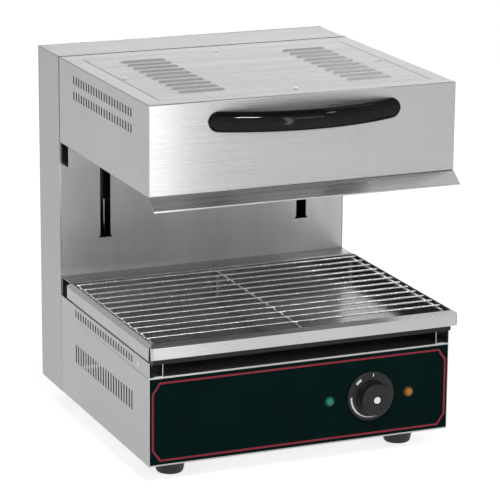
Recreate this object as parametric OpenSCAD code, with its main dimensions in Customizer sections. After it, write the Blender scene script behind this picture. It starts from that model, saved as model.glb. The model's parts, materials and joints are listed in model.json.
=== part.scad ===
// Lift-type cheese melter (salamander grill): a base with controls, a rear column,
// and a heated head that slides up and down the column on two guide rods.
// Millimetres, +Z up, front towards -Y, origin at the bottom centre of the whole part.

/* [Overall] */
// Width of the head, the column and the base
body_w = 450; // [420:2:500]
// Depth of the head and the base in front of the column
front_d = 358; // [346:1:390]
// Depth of the column
column_d = 90; // [84:1:110]
// Height of the column above the underside of the base
column_h = 499.5; // [490:0.5:530]
// Thickness of the sheet steel
sheet_t = 1; // [0.8:0.1:1.2]
// Gap left where two sheets meet
seam = 0.3; // [0.2:0.05:0.5]
// Gap between the base and the column
column_seam = 0.5; // [0.3:0.1:1]

/* [Base] */
// Height of the control panel
panel_h = 124.5; // [112:0.5:128]
// Height of the side rails above the control panel
rail_h = 22.5; // [18:0.5:26]
// Width of the lip on top of each side rail
rail_lip = 13; // [9:0.5:15]
// Distance from the outside of a rail to the pan runner inside it
runner_inset = 20.5; // [18:0.5:26]
// Depth of the ledge behind the pan
ledge_d = 37; // [30:1:45]
// Height of the ledge above the side rails
ledge_h = 28.5; // [24:0.5:30]
// Width of the steel margin at each end of the printed control panel
overlay_margin = 1.3; // [0.8:0.1:3]
// Width of the steel margin below the printed control panel
overlay_foot = 2.2; // [0.8:0.1:4]
// Thickness of the printed control panel
overlay_t = 0.6; // [0.4:0.1:1]

/* [Feet] */
// Height of a foot
foot_h = 28.5; // [20:0.5:40]
// Diameter of a foot where it meets the base
foot_top_d = 49; // [40:1:54]
// Diameter of a foot on the floor
foot_floor_d = 37; // [30:1:44]
// Distance of a foot's centre from the side of the base
foot_side = 51; // [40:0.5:70]
// Distance of a foot's centre from the front or the back
foot_end = 54; // [40:1:70]

/* [Side vents] */
// Number of slots in each row
vent_count = 23; // [8:1:23]
// Distance between slots
vent_pitch = 10.4; // [8:0.1:10.8]
// Width of a slot
vent_w = 4; // [2.5:0.5:5]
// Distance of the first slot from the front
vent_start = 65; // [50:1:70]
// Length of the slots low on the base
base_vent_h = 27; // [15:1:35]
// Height of the middle of the base slots
base_vent_z = 76; // [60:0.5:85]
// Length of the slots in a side rail
rail_vent_h = 11; // [6:0.5:12]
// Length of the slots in the side of the head
head_vent_h = 12; // [8:0.5:14]
// Distance between the two rows on the head
head_vent_rows = 22; // [18:0.5:26]
// Distance from the top of the head to the middle of its upper row
head_vent_top = 22; // [18:0.5:30]

/* [Head] */
// Height of the head
head_h = 124.5; // [118:0.5:128]
// Travel of the head down the column
lift_travel = 130; // [90:1:132]
// Running gap between the back of the head and the column
head_gap = 1.5; // [0.5:0.1:2]
// How far the rear heat shield hangs below the head
shield_drop = 34; // [28:0.5:36]
// Depth of the space behind the rear heat shield
shield_d = 22; // [18:0.5:26]
// How far the front deflector reaches forward
lip_out = 20.5; // [12:0.5:26]
// How far the front deflector reaches down
lip_drop = 14; // [8:0.5:20]
// Depth of the folded hem along the deflector's edge
lip_hem = 8; // [4:0.5:12]
// Distance from the side of the head to the top cover
cover_side = 24.5; // [20:0.5:30]
// Distance from the front of the head to the top cover
cover_front = 25; // [20:0.5:30]
// Distance from the back of the head to the top cover
cover_rear = 33; // [25:0.5:40]
// Gap along the front and the back of the top cover
cover_gap = 0.4; // [0.3:0.1:1]
// Gap along each side of the top cover
cover_side_gap = 1.2; // [0.6:0.1:2]

/* [Louvres] */
// Number of louvres in each group
louvre_count = 10; // [4:1:10]
// Distance between louvres
louvre_pitch = 24.5; // [18:0.5:25]
// Length of a louvre
louvre_len = 70; // [50:1:90]
// Height of a louvre above the cover
louvre_rise = 2.2; // [1.5:0.1:3]
// Width of a louvre from its toe to its mouth
louvre_w = 6; // [5:0.5:10]
// Distance from the side of the head to the middle of a group
louvre_side = 101; // [95:1:120]

/* [Handle] */
// Overall length of the handle
handle_len = 280; // [220:2:300]
// Height of the grip
handle_h = 28; // [22:1:32]
// How far the handle bows forward
handle_out = 40; // [36:1:50]
// Thickness of the grip at its middle
grip_t = 12; // [9:0.5:14]
// Length of each end pad
pad_len = 52; // [36:1:58]
// Thickness of the tip of an end pad
pad_t = 6; // [4:0.5:8]
// Distance from the top of the head down to the middle of the handle
handle_top = 29; // [25:0.5:40]

/* [Grill pan] */
// How far the pan's rim overhangs each side of the base
pan_side_over = 6.5; // [4:0.5:9]
// How far the pan's rim overhangs the front of the base
pan_front_over = 16; // [10:0.5:20]
// Depth of the pan from its rim to its underside
pan_h = 30; // [26:0.5:34]
// Width of the sloping rim
rim_w = 8; // [7:0.5:12]
// Fall of the sloping rim from its inner to its outer edge
rim_drop = 5; // [2:0.25:5]
// Height of the skirt below the rim
skirt_h = 16.5; // [12:0.5:19]
// Radius of the skirt's outside corners
skirt_corner_r = 8; // [2:0.5:8]
// Radius of the pan's inside corners
pan_corner_r = 3; // [1.5:0.5:5]

/* [Wire rack] */
// Number of cross wires
wire_count = 12; // [6:1:12]
// Diameter of a cross wire
wire_d = 3; // [2:0.25:4]
// Diameter of the three long bars
bar_d = 4.5; // [3.5:0.25:6]
// Gap between the rack and the pan's side walls
rack_side_gap = 4.5; // [3:0.5:8]
// Gap between the rack and the pan's back wall
rack_back_gap = 4; // [3:0.5:8]
// Gap between the rack and the pan's front wall
rack_front_gap = 14; // [5:0.5:20]
// Distance of the first wire from the front end of the rack
first_wire = 16.5; // [6.5:0.5:20]
// Distance of the last wire from the back end of the rack
last_wire = 6.5; // [6.5:0.5:10]
// Depth of the rack's top below the pan's rim
rack_drop = 0; // [0:0.25:3]
// How far the cross wires pass the outer bars
wire_over = 1.5; // [1:0.25:2.5]

/* [Lift] */
// Distance from the side of the column to the middle of a slot in its front
slot_side = 69; // [67:0.5:79]
// Width of a slot in the column
slot_w = 16; // [14:0.5:18]
// Thickness of a lift arm
arm_t = 3; // [2.5:0.25:4]
// Diameter of a guide rod
rod_d = 12; // [10:0.5:14]
// Distance of a guide rod from the side of the column
rod_side = 35; // [32:0.5:36]
// Radial clearance of the bushes on their rods
bush_fit = 0.05; // [0.02:0.01:0.08]
// Distance of a gas strut from the side of the column
strut_side = 83; // [81:0.5:105]
// Diameter of a gas strut's cylinder
strut_d = 18; // [15:0.5:20]
// Diameter of a gas strut's rod
strut_rod_d = 8; // [6:0.5:10]
// Distance of the rubber buffers from the side of the column
buffer_side = 125; // [115:1:140]
// Height of the rubber buffers
buffer_h = 14; // [8:0.5:15]
// Diameter of the rubber buffers
buffer_d = 16; // [12:0.5:16]
// Thickness of the carriage plate
carriage_t = 3; // [2.5:0.25:4]
// Height of the carriage plate
carriage_h = 168; // [150:1:175]
// Distance from the front of the column to the carriage plate
carriage_in = 22; // [20:0.5:26]
// How far the arms reach below the bottom of the head
arm_drop = 15.5; // [10:0.5:25]
// Distance from the top of the head down to the top of the arms
arm_top_gap = 28; // [20:1:40]
// Distance from the bottom of the arms down to the bottom of the carriage
carriage_drop = 80; // [70:1:90]

/* [Heating] */
// Diameter of a heating element's tube
element_d = 8; // [6.5:0.25:9]
// Distance from the side of the head to the outer run of an element
element_side = 50; // [46:0.5:70]
// Number of runs in each element
element_runs = 4; // [2:2:4]
// Height of the elements above the bottom of the head
element_z = 30; // [24:0.5:34]
// Height of the reflector's roof above the bottom of the head
reflector_h = 56; // [50:0.5:64]
// Depth of the wiring space behind the reflector
terminal_d = 40; // [36:0.5:50]
// Thickness of the insulation above the reflector
insulation_t = 24; // [15:0.5:28]

/* [Controls] */
// Distance of the knob from the right-hand side of the panel
knob_side = 121.4; // [113:0.2:127]
// Height of the knob's centre
knob_z = 63.5; // [54:0.5:68]
// Diameter of the knob's skirt
knob_skirt_d = 71; // [60:0.5:72]
// Diameter of the knob's grip
knob_grip_d = 47; // [38:0.5:50]
// How far the knob stands out of the panel
knob_out = 25; // [22:0.5:30]
// Diameter of the regulator's spindle
spindle_d = 6; // [5:0.25:8]
// Diameter of the lamp lenses
lamp_d = 15; // [12:0.5:16]
// Distance of the green lamp from the right-hand side of the panel
green_side = 183; // [177:0.5:190]
// Distance of the amber lamp from the right-hand side of the panel
amber_side = 62; // [53:0.5:66]
// Height of the lamps
lamp_z = 61.8; // [54:0.1:68]

/* [Supply inlet] */
// Bore of the cable gland
gland_bore = 10; // [8:0.5:12]
// Diameter of the gland's cap
gland_d = 24; // [20:0.5:28]
// How far the gland stands out of the back
gland_out = 22; // [16:0.5:28]
// Distance of the gland from the side of the column
gland_side = 75; // [65:1:125]
// Height of the gland above the underside of the base
gland_z = 61.5; // [40:0.5:80]

/* [Hidden] */

$fn = 48;
// A hair that lets one cut pass cleanly through a face
eps = 0.05;

// Colours of the materials
steel = "silver";
dark_steel = [0.35, 0.35, 0.36];
black = [0.08, 0.08, 0.08];

// Half widths and the faces of the base, measured from the front face and the base's underside
half_w = body_w / 2;
inner_w = half_w - sheet_t - seam;
deck_z = panel_h + sheet_t;
deck_top = deck_z + sheet_t;
rail_top = panel_h + rail_h;
ledge_top = rail_top + ledge_h;
back_y = front_d + column_d;
cover_y = back_y - sheet_t;
base_back = front_d - column_seam;
flange_w = 14;

// Screws, rivets and bolts
foot_screw_d = 6;
rivet_d = 3;
rivet_y = 41;
back_screw_d = 4;
back_screw_end = 25;
top_screw_d = 3;
bolt_d = 6;
bolt_head_d = 11;
bolt_head_h = 4;
nut_h = 5;
stud_r = 4;
stud_nut_d = 14;
hole_gap = 0.2;

// Where the part stands, so that its origin is the bottom centre of its box
face_y = (handle_out - back_y - gland_out) / 2;

// Head
head_z = column_h - head_h;
head_back = front_d - head_gap;
shield_y = front_d - shield_d;
shield_z = head_z - shield_drop;
shield_w = half_w - 5.5;
cover_hw = half_w - cover_side;
cover_back = front_d - cover_rear;
cover_land = 14;
cover_mid_y = (cover_front + cover_back) / 2;
louvre_skin = 0.6;
handle_z = column_h - handle_top;
handle_screw_x = handle_len / 2 - 20;
handle_screw_d = 5;
handle_screw_in = 9;

// Reflector and elements
reflector_in = 16;
reflector_back = shield_y - terminal_d;
reflector_z = head_z + reflector_h;
tube_z = head_z + element_z;
element_pitch = (half_w - element_side) / (element_runs - 0.5);
turn_r = element_pitch / 2;
element_front = 34 + turn_r;
element_back = reflector_back - 26 - turn_r;
cold_end = 14;
element_stud_d = 4;
element_stud_len = 12;
element_collar = 4;
hanger_in = 20;
hanger_t = 2;
hanger_edge = 3;
blanket_gap = 4;

// Lift
mech_y = front_d + column_d / 2;
rod_x = half_w - rod_side;
strut_x = half_w - strut_side;
slot_x = half_w - slot_side;
arm_x = slot_x + slot_w / 2 - 1.5 - arm_t;
arm_z = head_z - arm_drop;
arm_top = column_h - arm_top_gap;
arm_flange = 15;
slot_low = arm_z - lift_travel - 2;
slot_top = arm_top + 6;
notch_w = 20;
notch_h = 3;
carriage_y = front_d + carriage_in;
carriage_low = arm_z - carriage_drop;
carriage_top = carriage_low + carriage_h;
carriage_shelf = mech_y + 15;
carriage_hw = rod_x + 18;
bracket_t = 3;
bracket_tab = 20;
rod_end = 8;
collar_h = 4;
foot_bracket_top = carriage_low - lift_travel - buffer_h - seam;
head_bracket_low = carriage_top + buffer_h + seam;
buffer_x = half_w - buffer_side;
buffer_y = carriage_y + carriage_t / 2;
bush_w = 32;
bush_h = 30;
bush_back = mech_y + 13;
bush_low_z = carriage_low + 12;
bush_high_z = carriage_top - 44;
strut_low = carriage_low + 7;
strut_len = lift_travel + 18;

// Grill pan, from its inside faces
pan_hw = half_w + pan_side_over - rim_w;
pan_front = rim_w - pan_front_over;
pan_back = front_d - ledge_d - 1 - rim_w;
pan_top = rail_top + pan_h;
rim_fold = sheet_t / cos(atan2(rim_drop, rim_w));

// Wire rack
bar_x = pan_hw - rack_side_gap - bar_d / 2;
rack_back = pan_back - rack_back_gap;
rack_front = pan_front + rack_front_gap;
wire_pitch = (rack_back - rack_front - first_wire - last_wire) / (wire_count - 1);
wire_z = pan_top - rack_drop - wire_d / 2;
bar_z = wire_z - (wire_d + bar_d) / 2;
bend_r = bar_d / 2 + 2.5;

// Controls
knob_x = half_w - knob_side;
green_x = half_w - green_side;
amber_x = half_w - amber_side;
gland_x = half_w - gland_side;
spindle_out = 15;
spindle_in = 16;
knob_seat = overlay_t + 0.8;
cap_d = 10;
regulator_w = 44;
regulator_d = 24;
lamp_barrel_d = lamp_d - 5;
lamp_barrel_len = 14;
lamp_rim_h = 2;
clip_h = 3;
tab_len = 9;
wire_r = 2.5;
wire_bend = 10;
block_hw = 35;
block_y = front_d + 14;
block_d = 30;
block_h = 22;

// The lead to the heating elements: up from the terminal block, then in folds
lead_r = 4;
lead_bend = 13;
lead_x = 30;
lead_y = carriage_y + carriage_t + lead_r + seam;
lead_z = sheet_t + block_h / 2;
lead_top = carriage_top - carriage_t;
fold_runs = 7;
fold_len = 60;
fold_pitch = 32;
fold_height = (fold_runs - 1) * fold_pitch;
fold_low = (foot_bracket_top + lead_top - fold_height) / 2;
gland_hole_r = gland_bore / 2 + 3;
gland_hex_h = 7;
gland_neck = 10;

// ---- helpers ----

// Moves a piece from the front face and base underside to the part's origin
module place() {
    translate([0, face_y, foot_h]) children();
}

// A box between two corners
module block(low, high) {
    translate(low) cube(high - low);
}

// The piece and its mirror image across the middle
module both_sides() {
    children();
    mirror([1, 0, 0]) children();
}

// A right-hand piece as it is, or mirrored for the left-hand side
module on_side(side) {
    mirror([side < 0 ? 1 : 0, 0, 0]) children();
}

// A round bar along Y that starts at a point
module bar_along_y(start, d, length) {
    translate(start) rotate([-90, 0, 0]) cylinder(d = d, h = length);
}

// A round bar along X that starts at a point
module bar_along_x(start, d, length) {
    translate(start) rotate([0, 90, 0]) cylinder(d = d, h = length);
}

// One row of vertical slots through the side walls at a given height
module side_slots(middle_z, slot_h) {
    for (i = [0 : vent_count - 1])
        block([-half_w - 1, vent_start + i * vent_pitch - vent_w / 2, middle_z - slot_h / 2],
              [half_w + 1, vent_start + i * vent_pitch + vent_w / 2, middle_z + slot_h / 2]);
}

// A pan-head screw that points down from the origin
module screw_down(head_d, head_h, shank_d, length) {
    cylinder(d = head_d, h = head_h);
    translate([0, 0, -length]) cylinder(d = shank_d, h = length + eps);
}

// A bolt with its nut along Y: the head's seat is at the origin and the grip runs to +Y
module bolt_and_nut(grip) {
    rotate([-90, 0, 0]) {
        translate([0, 0, -bolt_head_h]) cylinder(d = bolt_head_d, h = bolt_head_h, $fn = 6);
        cylinder(d = bolt_d, h = grip + nut_h + 2);
        translate([0, 0, grip]) cylinder(d = bolt_head_d, h = nut_h, $fn = 6);
    }
}

// A tube bent to and fro: runs along Y, turns at alternate ends, starts at the origin
module serpentine(runs, length, pitch, d) {
    for (i = [0 : runs - 1])
        bar_along_y([i * pitch, 0, 0], d, length);
    for (i = [0 : runs - 2])
        translate([(i + 0.5) * pitch, i % 2 == 0 ? 0 : length, 0])
            rotate([0, 0, i % 2 == 0 ? 180 : 0])
                rotate_extrude(angle = 180) translate([pitch / 2, 0]) circle(d = d);
}

// A quarter bend in a round tube, from +X round to +Y about the origin
module elbow(bend, d) {
    rotate_extrude(angle = 90) translate([bend, 0]) circle(d = d);
}

// ---- base ----

module base_shell() color(steel) place() {
    difference() {
        union() {
            both_sides()
                block([half_w - sheet_t, sheet_t, 0], [half_w, base_back, panel_h]);
            block([-half_w, sheet_t, 0], [half_w, base_back, sheet_t]);
            block([-inner_w, base_back - eps, 0], [inner_w, cover_y - seam, sheet_t]);
        }
        side_slots(base_vent_z, base_vent_h);
        foot_places() translate([0, 0, -1])
            cylinder(d = foot_screw_d + 2 * hole_gap, h = sheet_t + 2);
        // Cooling slots in the floor under the controls
        for (i = [0 : 7])
            translate([i * 12 - 42, 0, 0])
                block([-2, 110, -1], [2, 170, sheet_t + 1]);
    }
}

// The places of the four feet on the underside of the base
module foot_places() {
    for (x = [-half_w + foot_side, half_w - foot_side], y = [foot_end, back_y - foot_end])
        translate([x, y, 0]) children();
}

module control_fascia() color(steel) place() {
    difference() {
        union() {
            block([-half_w, 0, 0], [half_w, sheet_t, panel_h]);
            both_sides()
                block([inner_w - sheet_t, sheet_t - eps, 2 * sheet_t],
                      [inner_w, flange_w, panel_h - seam]);
        }
        panel_holes(sheet_t);
    }
}

// Holes for the spindle and the two lamps, from the front face back to a depth
module panel_holes(depth) {
    bar_along_y([knob_x, -1, knob_z], spindle_d + 4, depth + 2);
    for (x = [green_x, amber_x])
        bar_along_y([x, -1, lamp_z], lamp_barrel_d + 2 * hole_gap, depth + 2);
}

module control_overlay() color([0.01, 0.08, 0.07]) place() {
    difference() {
        block([-half_w + overlay_margin, -overlay_t, overlay_foot],
              [half_w - overlay_margin, 0, panel_h - overlay_margin / 2]);
        translate([0, -overlay_t, 0]) panel_holes(overlay_t);
    }
}

module deck_plate() color(dark_steel) place() {
    block([-inner_w, 0, deck_z], [inner_w, base_back, deck_top]);
    block([-half_w, 0, panel_h], [half_w, sheet_t, deck_top]);
}

module side_rail(side) color(steel) place() on_side(side) {
    difference() {
        union() {
            block([half_w - sheet_t, 0, panel_h], [half_w, base_back, rail_top]);
            block([half_w - rail_lip, 0, rail_top - sheet_t], [half_w, base_back, rail_top]);
            block([half_w - flange_w, 0, panel_h], [half_w, base_back, deck_z]);
        }
        // Room for the front hem of the deck
        block([0, -1, panel_h - 1], [half_w + 1, sheet_t, deck_top]);
        side_slots(panel_h + rail_h / 2, rail_vent_h);
        bar_along_x([half_w - 5, rivet_y, panel_h + rail_h / 2], rivet_d + 2 * hole_gap, 10);
    }
}

module pan_runner(side) color(steel) place() on_side(side) {
    runner_x = half_w - runner_inset;
    block([runner_x, 0, deck_top], [runner_x + sheet_t, base_back, rail_top]);
    block([runner_x, 0, deck_top], [runner_x + rail_lip, base_back, deck_top + sheet_t]);
}

module rear_ledge() color(steel) place() {
    ledge_hw = half_w - sheet_t / 2;
    block([-ledge_hw, front_d - ledge_d, ledge_top - sheet_t], [ledge_hw, base_back, ledge_top]);
    block([-ledge_hw, front_d - ledge_d, rail_top],
          [ledge_hw, front_d - ledge_d + sheet_t, ledge_top]);
}

module rail_rivets() color(steel) place() {
    both_sides()
        translate([half_w, rivet_y, panel_h + rail_h / 2]) rotate([0, 90, 0])
            screw_down(2 * rivet_d, 0.9, rivet_d, 4);
}

module foot(x_side, y_end) color(black) place() {
    x = x_side * (half_w - foot_side);
    y = y_end < 0 ? foot_end : back_y - foot_end;
    translate([x, y, -foot_h]) difference() {
        cylinder(d1 = foot_floor_d, d2 = foot_top_d, h = foot_h);
        translate([0, 0, -1]) cylinder(d = 16, h = foot_h / 2 + 1);
        cylinder(d = foot_screw_d + 2 * hole_gap, h = foot_h + 1);
    }
}

module foot_screws() color(steel) place() {
    foot_places() {
        translate([0, 0, -foot_h / 2 - 3]) cylinder(d = 10, h = 3);
        translate([0, 0, -foot_h / 2 - eps]) cylinder(d = foot_screw_d, h = foot_h / 2 + 9);
        translate([0, 0, sheet_t]) cylinder(d = bolt_head_d, h = nut_h, $fn = 6);
    }
}

// ---- column ----

module column_shell() color(steel) place() {
    difference() {
        union() {
            both_sides() {
                block([half_w - sheet_t, front_d, 0], [half_w, back_y, column_h]);
                // Rear flange that takes the back cover's screws
                block([half_w - flange_w, cover_y - seam - sheet_t, 4],
                      [half_w - sheet_t / 2, cover_y - seam, column_h - sheet_t / 2]);
            }
            block([-half_w, front_d, column_h - sheet_t], [half_w, back_y, column_h]);
        }
        // The bottom rear corners are clipped
        translate([0, back_y, 0]) rotate([45, 0, 0])
            block([-half_w - 1, -2.5, -2.5], [half_w + 1, 2.5, 2.5]);
        cover_screw_places() rotate([90, 0, 0])
            translate([0, 0, -5]) cylinder(d = back_screw_d + 2 * hole_gap, h = 12);
    }
}

// The places of the back cover's screws on its rear face
module cover_screw_places() {
    for (x = [-inner_w + 6.5, inner_w - 6.5], z = [back_screw_end, column_h / 2, column_h - back_screw_end])
        translate([x, back_y, z]) children();
}

module column_liner() color(steel) place() {
    difference() {
        union() {
            block([-inner_w, front_d, deck_z], [inner_w, front_d + sheet_t, column_h - sheet_t - seam]);
            both_sides()
                block([inner_w - sheet_t, front_d, deck_z],
                      [inner_w, front_d + flange_w, column_h - sheet_t - seam]);
        }
        both_sides() {
            block([slot_x - slot_w / 2, front_d - 1, slot_low],
                  [slot_x + slot_w / 2, front_d + sheet_t + 1, slot_top]);
            block([slot_x - notch_w / 2, front_d - 1, slot_low],
                  [slot_x + notch_w / 2, front_d + sheet_t + 1, slot_low + notch_h]);
        }
    }
}

module column_back_cover() color(steel) place() {
    difference() {
        block([-inner_w, cover_y, 5], [inner_w, back_y, column_h - sheet_t - seam]);
        cover_screw_places() rotate([90, 0, 0])
            translate([0, 0, -5]) cylinder(d = back_screw_d + 2 * hole_gap, h = 12);
        bar_along_y([gland_x, cover_y - 1, gland_z], 2 * gland_hole_r, sheet_t + 2);
        // Vent slots at the top and the bottom
        for (i = [-7 : 7], z = [110, column_h - 70])
            translate([i * 14, cover_y, z]) block([-2, -1, -15], [2, sheet_t + 1, 15]);
    }
}

module back_cover_screws() color(steel) place() {
    cover_screw_places() rotate([-90, 0, 0]) screw_down(2 * back_screw_d, 2.2, back_screw_d, 7);
}

// A plate across the column with bent ends, drilled for the rods, the struts and the lead
module cross_bracket(low_z, front_y, tab_low, tab_high) {
    difference() {
        union() {
            block([-inner_w, front_y, low_z], [inner_w, cover_y - 3, low_z + bracket_t]);
            both_sides()
                block([inner_w - bracket_t, front_y, tab_low],
                      [inner_w, cover_y - 3 - sheet_t, tab_high]);
        }
        both_sides()
            translate([rod_x, mech_y, low_z - 1]) cylinder(d = rod_d + 2 * hole_gap, h = bracket_t + 2);
    }
}

module rod_foot_bracket() color(dark_steel) place() {
    low_z = foot_bracket_top - bracket_t;
    difference() {
        cross_bracket(low_z, front_d + flange_w + 1, low_z - bracket_tab, low_z + bracket_t);
        both_sides()
            translate([strut_x, mech_y, low_z - 1]) cylinder(r = stud_r + hole_gap, h = bracket_t + 2);
    }
}

module rod_head_bracket() color(dark_steel) place() {
    cross_bracket(head_bracket_low, carriage_y + 6, head_bracket_low, head_bracket_low + bracket_tab);
}

module guide_rod(side) color(steel) place() on_side(side) {
    foot_z = foot_bracket_top - bracket_t - rod_end;
    translate([rod_x, mech_y, foot_z])
        cylinder(d = rod_d, h = head_bracket_low + bracket_t + rod_end - foot_z);
    // Collars that hold the rod between the brackets
    for (z = [foot_bracket_top, head_bracket_low - collar_h])
        translate([rod_x, mech_y, z]) cylinder(d = 1.5 * rod_d, h = collar_h);
}

module strut_rod(side) color(steel) place() on_side(side) {
    translate([strut_x, mech_y, foot_bracket_top]) {
        translate([0, 0, nut_h])
            cylinder(d = strut_rod_d, h = strut_low + 8 - foot_bracket_top - nut_h);
        translate([0, 0, -bracket_t - nut_h - 2]) cylinder(r = stud_r, h = bracket_t + 2 * nut_h + 3);
        cylinder(d = stud_nut_d, h = nut_h, $fn = 6);
        translate([0, 0, -bracket_t - nut_h]) cylinder(d = stud_nut_d, h = nut_h, $fn = 6);
    }
}

// Two buffers under the carriage and two above it
module rubber_buffers() color(black) place() {
    both_sides() {
        translate([buffer_x, buffer_y, foot_bracket_top]) cylinder(d = buffer_d, h = buffer_h);
        translate([buffer_x, mech_y, carriage_top + seam]) cylinder(d = buffer_d, h = buffer_h);
    }
}

// ---- electrics in the base and the column ----

module cable_gland() color(black) place() {
    translate([gland_x, back_y, gland_z]) rotate([-90, 0, 0]) difference() {
        union() {
            cylinder(d = gland_d + 2, h = gland_hex_h, $fn = 6);
            translate([0, 0, gland_hex_h - eps])
                cylinder(d1 = gland_d, d2 = gland_d - 5, h = gland_out - gland_hex_h + eps);
            translate([0, 0, -sheet_t - gland_neck])
                cylinder(r = gland_hole_r - hole_gap, h = sheet_t + gland_neck + 1);
            translate([0, 0, -sheet_t - nut_h]) cylinder(d = gland_d, h = nut_h, $fn = 6);
        }
        translate([0, 0, -sheet_t - gland_neck - 1])
            cylinder(d = gland_bore, h = gland_out + sheet_t + gland_neck + 2);
    }
}

module terminal_block() color([0.9, 0.88, 0.82]) place() {
    translate([knob_x, 0, 0]) difference() {
        block([-block_hw, block_y, sheet_t], [block_hw, block_y + block_d, sheet_t + block_h]);
        for (i = [-2 : 2])
            translate([i * 13, block_y + block_d - 6, sheet_t + 8]) cylinder(d = 6, h = block_h);
    }
}

module energy_regulator() color(dark_steel) place() {
    w = regulator_w / 2;
    translate([knob_x, sheet_t, knob_z]) difference() {
        union() {
            block([-w, 0, -w], [w, regulator_d, w]);
            bar_along_y([0, regulator_d - eps, 0], regulator_w - 6, 8);
            for (x = [-12, 12])
                block([x - 3, regulator_d - eps, 1 - w], [x + 3, regulator_d + tab_len, 2 - w]);
        }
        bar_along_y([0, -1, 0], spindle_d + 2 * bush_fit, spindle_in + 2);
    }
}

// Each wire drops from a tab on the regulator and runs back to the terminal block
module regulator_wires() color([0.55, 0.12, 0.1]) place() {
    $fn = 24;
    wire_y = sheet_t + regulator_d + tab_len - 4;
    wire_z = sheet_t + wire_r + seam;
    tab_z = knob_z - regulator_w / 2 + 1;
    for (x = [knob_x - 12, knob_x + 12])
        translate([x, wire_y, wire_z]) {
            translate([0, 0, wire_bend]) cylinder(r = wire_r, h = tab_z - wire_z - wire_bend);
            translate([0, wire_bend, wire_bend]) rotate([90, 0, 90]) rotate([0, 0, 180])
                elbow(wire_bend, 2 * wire_r);
            bar_along_y([0, wire_bend, 0], 2 * wire_r, block_y - wire_y - wire_bend);
        }
}

// The fixed part of the heating lead: down from the foot bracket, across to the terminal block
module column_lead() color([0.75, 0.3, 0.15]) place() {
    $fn = 24;
    translate([lead_x, lead_y, lead_z]) {
        translate([0, 0, lead_bend])
            cylinder(r = lead_r, h = foot_bracket_top - bracket_t - lead_z - lead_bend);
        translate([lead_bend, 0, lead_bend]) rotate([90, 0, 0]) rotate([0, 0, 180])
            elbow(lead_bend, 2 * lead_r);
        bar_along_x([lead_bend, 0, 0], 2 * lead_r, knob_x - block_hw - lead_x - lead_bend);
    }
}

// The loose part of the heating lead hangs in folds, which close up as the head goes down
module heater_lead() color([0.75, 0.3, 0.15]) place() {
    $fn = 24;
    left_x = lead_x - fold_len - lead_bend;
    fold_top = fold_low + fold_height;
    translate([0, lead_y, 0]) {
        translate([left_x, 0, fold_low]) rotate([-90, 0, 0]) rotate([0, 0, -90])
            serpentine(fold_runs, fold_len, fold_pitch, 2 * lead_r);
        translate([lead_x - lead_bend, 0, fold_low - lead_bend]) rotate([90, 0, 0])
            elbow(lead_bend, 2 * lead_r);
        translate([lead_x, 0, foot_bracket_top])
            cylinder(r = lead_r, h = fold_low - lead_bend - foot_bracket_top);
        translate([left_x, 0, fold_top + lead_bend]) rotate([90, 0, 0]) rotate([0, 0, 180])
            elbow(lead_bend, 2 * lead_r);
        translate([left_x - lead_bend, 0, fold_top + lead_bend])
            cylinder(r = lead_r, h = lead_top - fold_top - lead_bend);
    }
}

module lamp(x, shade) color(shade) place() {
    translate([x, -overlay_t, lamp_z]) rotate([90, 0, 0]) {
        cylinder(d = lamp_d, h = lamp_rim_h);
        translate([0, 0, lamp_rim_h - eps]) intersection() {
            translate([0, 0, -lamp_d * 0.45]) sphere(d = lamp_d * 1.28);
            cylinder(d = lamp_d - 1.5, h = 4);
        }
        translate([0, 0, -lamp_barrel_len])
            cylinder(d = lamp_barrel_d, h = lamp_barrel_len + eps);
    }
}

module lamp_clips() color(black) place() {
    for (x = [green_x, amber_x])
        translate([x, sheet_t, lamp_z]) rotate([-90, 0, 0]) difference() {
            cylinder(d = lamp_d + 2, h = clip_h);
            translate([0, 0, -1]) cylinder(d = lamp_barrel_d + 2 * hole_gap, h = clip_h + 2);
        }
}

// ---- head ----

module head_casing() color(steel) place() {
    difference() {
        union() {
            block([-half_w, 0, head_z], [half_w, sheet_t, column_h]);
            both_sides()
                block([half_w - sheet_t, 0, head_z], [half_w, head_back, column_h]);
            difference() {
                block([-half_w, 0, column_h - sheet_t], [half_w, head_back, column_h]);
                block([-cover_hw, cover_front, column_h - 2 * sheet_t],
                      [cover_hw, cover_back, column_h + 1]);
            }
            // Sunken strips and tabs that the top cover lies on
            block([-cover_hw + cover_side_gap, cover_front - 3, column_h - 2 * sheet_t],
                  [cover_hw - cover_side_gap, cover_front + cover_land, column_h - sheet_t]);
            block([-cover_hw + cover_side_gap, cover_back - cover_land, column_h - 2 * sheet_t],
                  [cover_hw - cover_side_gap, cover_back + 3, column_h - sheet_t]);
            both_sides()
                block([cover_hw - cover_land, cover_mid_y - 10, column_h - 2 * sheet_t],
                      [cover_hw + 3, cover_mid_y + 10, column_h - sheet_t]);
            // Flange around the open bottom
            both_sides()
                block([half_w - flange_w, 0, head_z], [half_w, shield_y - seam, head_z + sheet_t]);
            block([-half_w, 0, head_z], [half_w, flange_w, head_z + sheet_t]);
            // Floor of the wiring space behind the reflector
            block([-half_w, reflector_back - flange_w, head_z],
                  [half_w, shield_y - seam, head_z + sheet_t]);
        }
        side_slots(column_h - head_vent_top, head_vent_h);
        side_slots(column_h - head_vent_top - head_vent_rows, head_vent_h);
        both_sides()
            bar_along_y([handle_screw_x, -1, handle_z], handle_screw_d + 2 * hole_gap, sheet_t + 2);
        top_screw_places() translate([0, 0, -5]) cylinder(d = top_screw_d + 2 * hole_gap, h = 10);
    }
}

// The places of the four screws on the top cover
module top_screw_places() {
    for (p = [[-cover_hw + 8, cover_mid_y], [cover_hw - 8, cover_mid_y],
              [0, cover_front + 8], [0, cover_back - 8]])
        translate([p[0], p[1], column_h]) children();
}

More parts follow.
